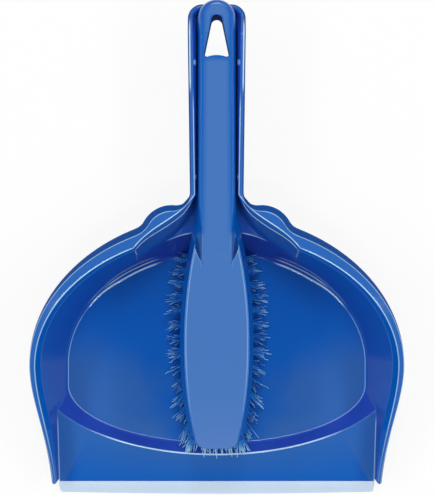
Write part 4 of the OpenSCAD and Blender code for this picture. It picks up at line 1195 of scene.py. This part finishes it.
# %% White table and backdrop
SPECK_MM, WHITE_SHARE = 3, 0.86
white_paper, tree = finish_named("white_backdrop_paper")
speck = add(tree, "ShaderNodeTexNoise", {"Scale": per_mm(SPECK_MM), "Detail": 2.0})
pale = add(tree, "ShaderNodeMix", {"Factor": speck.outputs["Fac"], "A": hue("#fafafa"), "B": hue("#fdfdfd")},
           data_type="RGBA")
laid = add(tree, "ShaderNodeBsdfDiffuse", {"Color": pale.outputs[2]})
bright = add(tree, "ShaderNodeEmission", {"Color": hue("#ffffff"), "Strength": 1.0})
rays = add(tree, "ShaderNodeLightPath").outputs
seen = add(tree, "ShaderNodeMath", {0: rays["Is Camera Ray"], 1: rays["Is Glossy Ray"]}, operation="MAXIMUM")
seen = add(tree, "ShaderNodeMath", {0: seen.outputs[0], 1: rays["Is Transmission Ray"]}, operation="MAXIMUM")
lit = add(tree, "ShaderNodeMath", {0: seen.outputs[0], 1: WHITE_SHARE}, operation="MULTIPLY")
both = add(tree, "ShaderNodeMixShader", {0: lit.outputs[0], 1: laid.outputs["BSDF"],
                                         2: bright.outputs["Emission"]})
add(tree, "ShaderNodeOutputMaterial", {"Surface": both.outputs["Shader"]})

# A wide disc just under the set, turned up all round into a low wall; radius and height in mm
TABLE_Z, TABLE_R, SWEEP_R, WALL_TOP = -0.2, 2500, 400, 1500
sweep = [(0, TABLE_Z), (TABLE_R, TABLE_Z), *arc((TABLE_R, TABLE_Z + SWEEP_R), SWEEP_R, np.arange(-80, 1, 10)),
         (TABLE_R + SWEEP_R, WALL_TOP)]
around = np.radians(np.arange(0, 360, 5))
sweep_points = np.array([stack(r * np.cos(around), r * np.sin(around), z) for r, z in sweep])
backdrop = solid("white_backdrop", sweep_points, grid_faces(len(sweep), len(around)))
backdrop.data.shade_smooth()
backdrop.data.materials.append(white_paper)
print("backdrop laid at z =", TABLE_Z, "mm")

# %% [markdown]
# ### Soft boxes
# Eight soft boxes stand round the object, 1.5 m away and about half way up, and the narrow one in front
# stands higher. Edges that face them draw faint lines, which the painted highlight of the finishes whitens.
# One large box overhead would light the object as well, but the camera would see it mirrored in the floor,
# the walls and the ramp, so those directions stay dark and the flats keep their own colour. A dim room fills
# the shadows.

# %% Soft boxes and the room
scene = bpy.context.scene
scene.view_settings.view_transform = "Standard"
room = bpy.data.worlds.new("dim_room")
scene.world = room
room.use_nodes = True
room.node_tree.nodes.clear()
glow = add(room.node_tree, "ShaderNodeBackground", {"Color": hue("#f4f6fa"), "Strength": 0.2})
add(room.node_tree, "ShaderNodeOutputWorld", {"Surface": glow.outputs["Background"]})

AIM, BOX_AWAY = Vector((0, -0.03, 0.03)), 1.5


def soft_box(name, azimuth, elevation, width, height, watts):
    """Area lamp that looks at the object; azimuth 0 is behind it, at the handle's end."""
    lamp = bpy.data.lights.new(name, "AREA")
    lamp.shape = "RECTANGLE"
    lamp.size, lamp.size_y, lamp.energy = width, height, watts
    stand = bpy.data.objects.new(name, lamp)
    a, e = np.radians([azimuth, elevation])
    away = Vector((np.sin(a) * np.cos(e), np.cos(a) * np.cos(e), np.sin(e)))
    stand.location = AIM + away * BOX_AWAY
    stand.rotation_euler = away.to_track_quat("Z", "Y").to_euler()
    scene.collection.objects.link(stand)


soft_box("soft_box_behind", 0, 60, 0.3, 0.4, 4.4)
soft_box("soft_box_front", 180, 73, 0.5, 0.08, 3.6)
for side in (-1, 1):
    soft_box("soft_box_side" + str(side), 90 * side, 48, 0.9, 0.25, 5.0)
    for corner in (45, 135):
        soft_box("soft_box_corner" + str(corner * side), corner * side, 46, 0.5, 0.25, 1.4)
print("eight soft boxes")

# %% [markdown]
# ### Camera
# The camera looks straight down from 0.9 m, high enough for the walls to show only a little. From there one
# pixel of the 435 x 495 image covers 0.66 mm of the table, and that sets the lens.

# %% Camera
IMAGE_H, PIXEL_MM, SENSOR = 495, 0.66, 36
CAMERA_X, CAMERA_Y, CAMERA_Z = 0.46, 3.7, 900
eye = bpy.data.cameras.new("straight_down")
eye.sensor_fit = "VERTICAL"
eye.sensor_height = SENSOR
eye.lens = SENSOR * CAMERA_Z / (PIXEL_MM * IMAGE_H)
camera = bpy.data.objects.new("straight_down", eye)
camera.location = (CAMERA_X * MM, CAMERA_Y * MM, CAMERA_Z * MM)
scene.collection.objects.link(camera)
scene.camera = camera
print("lens", round(eye.lens, 1), "mm")
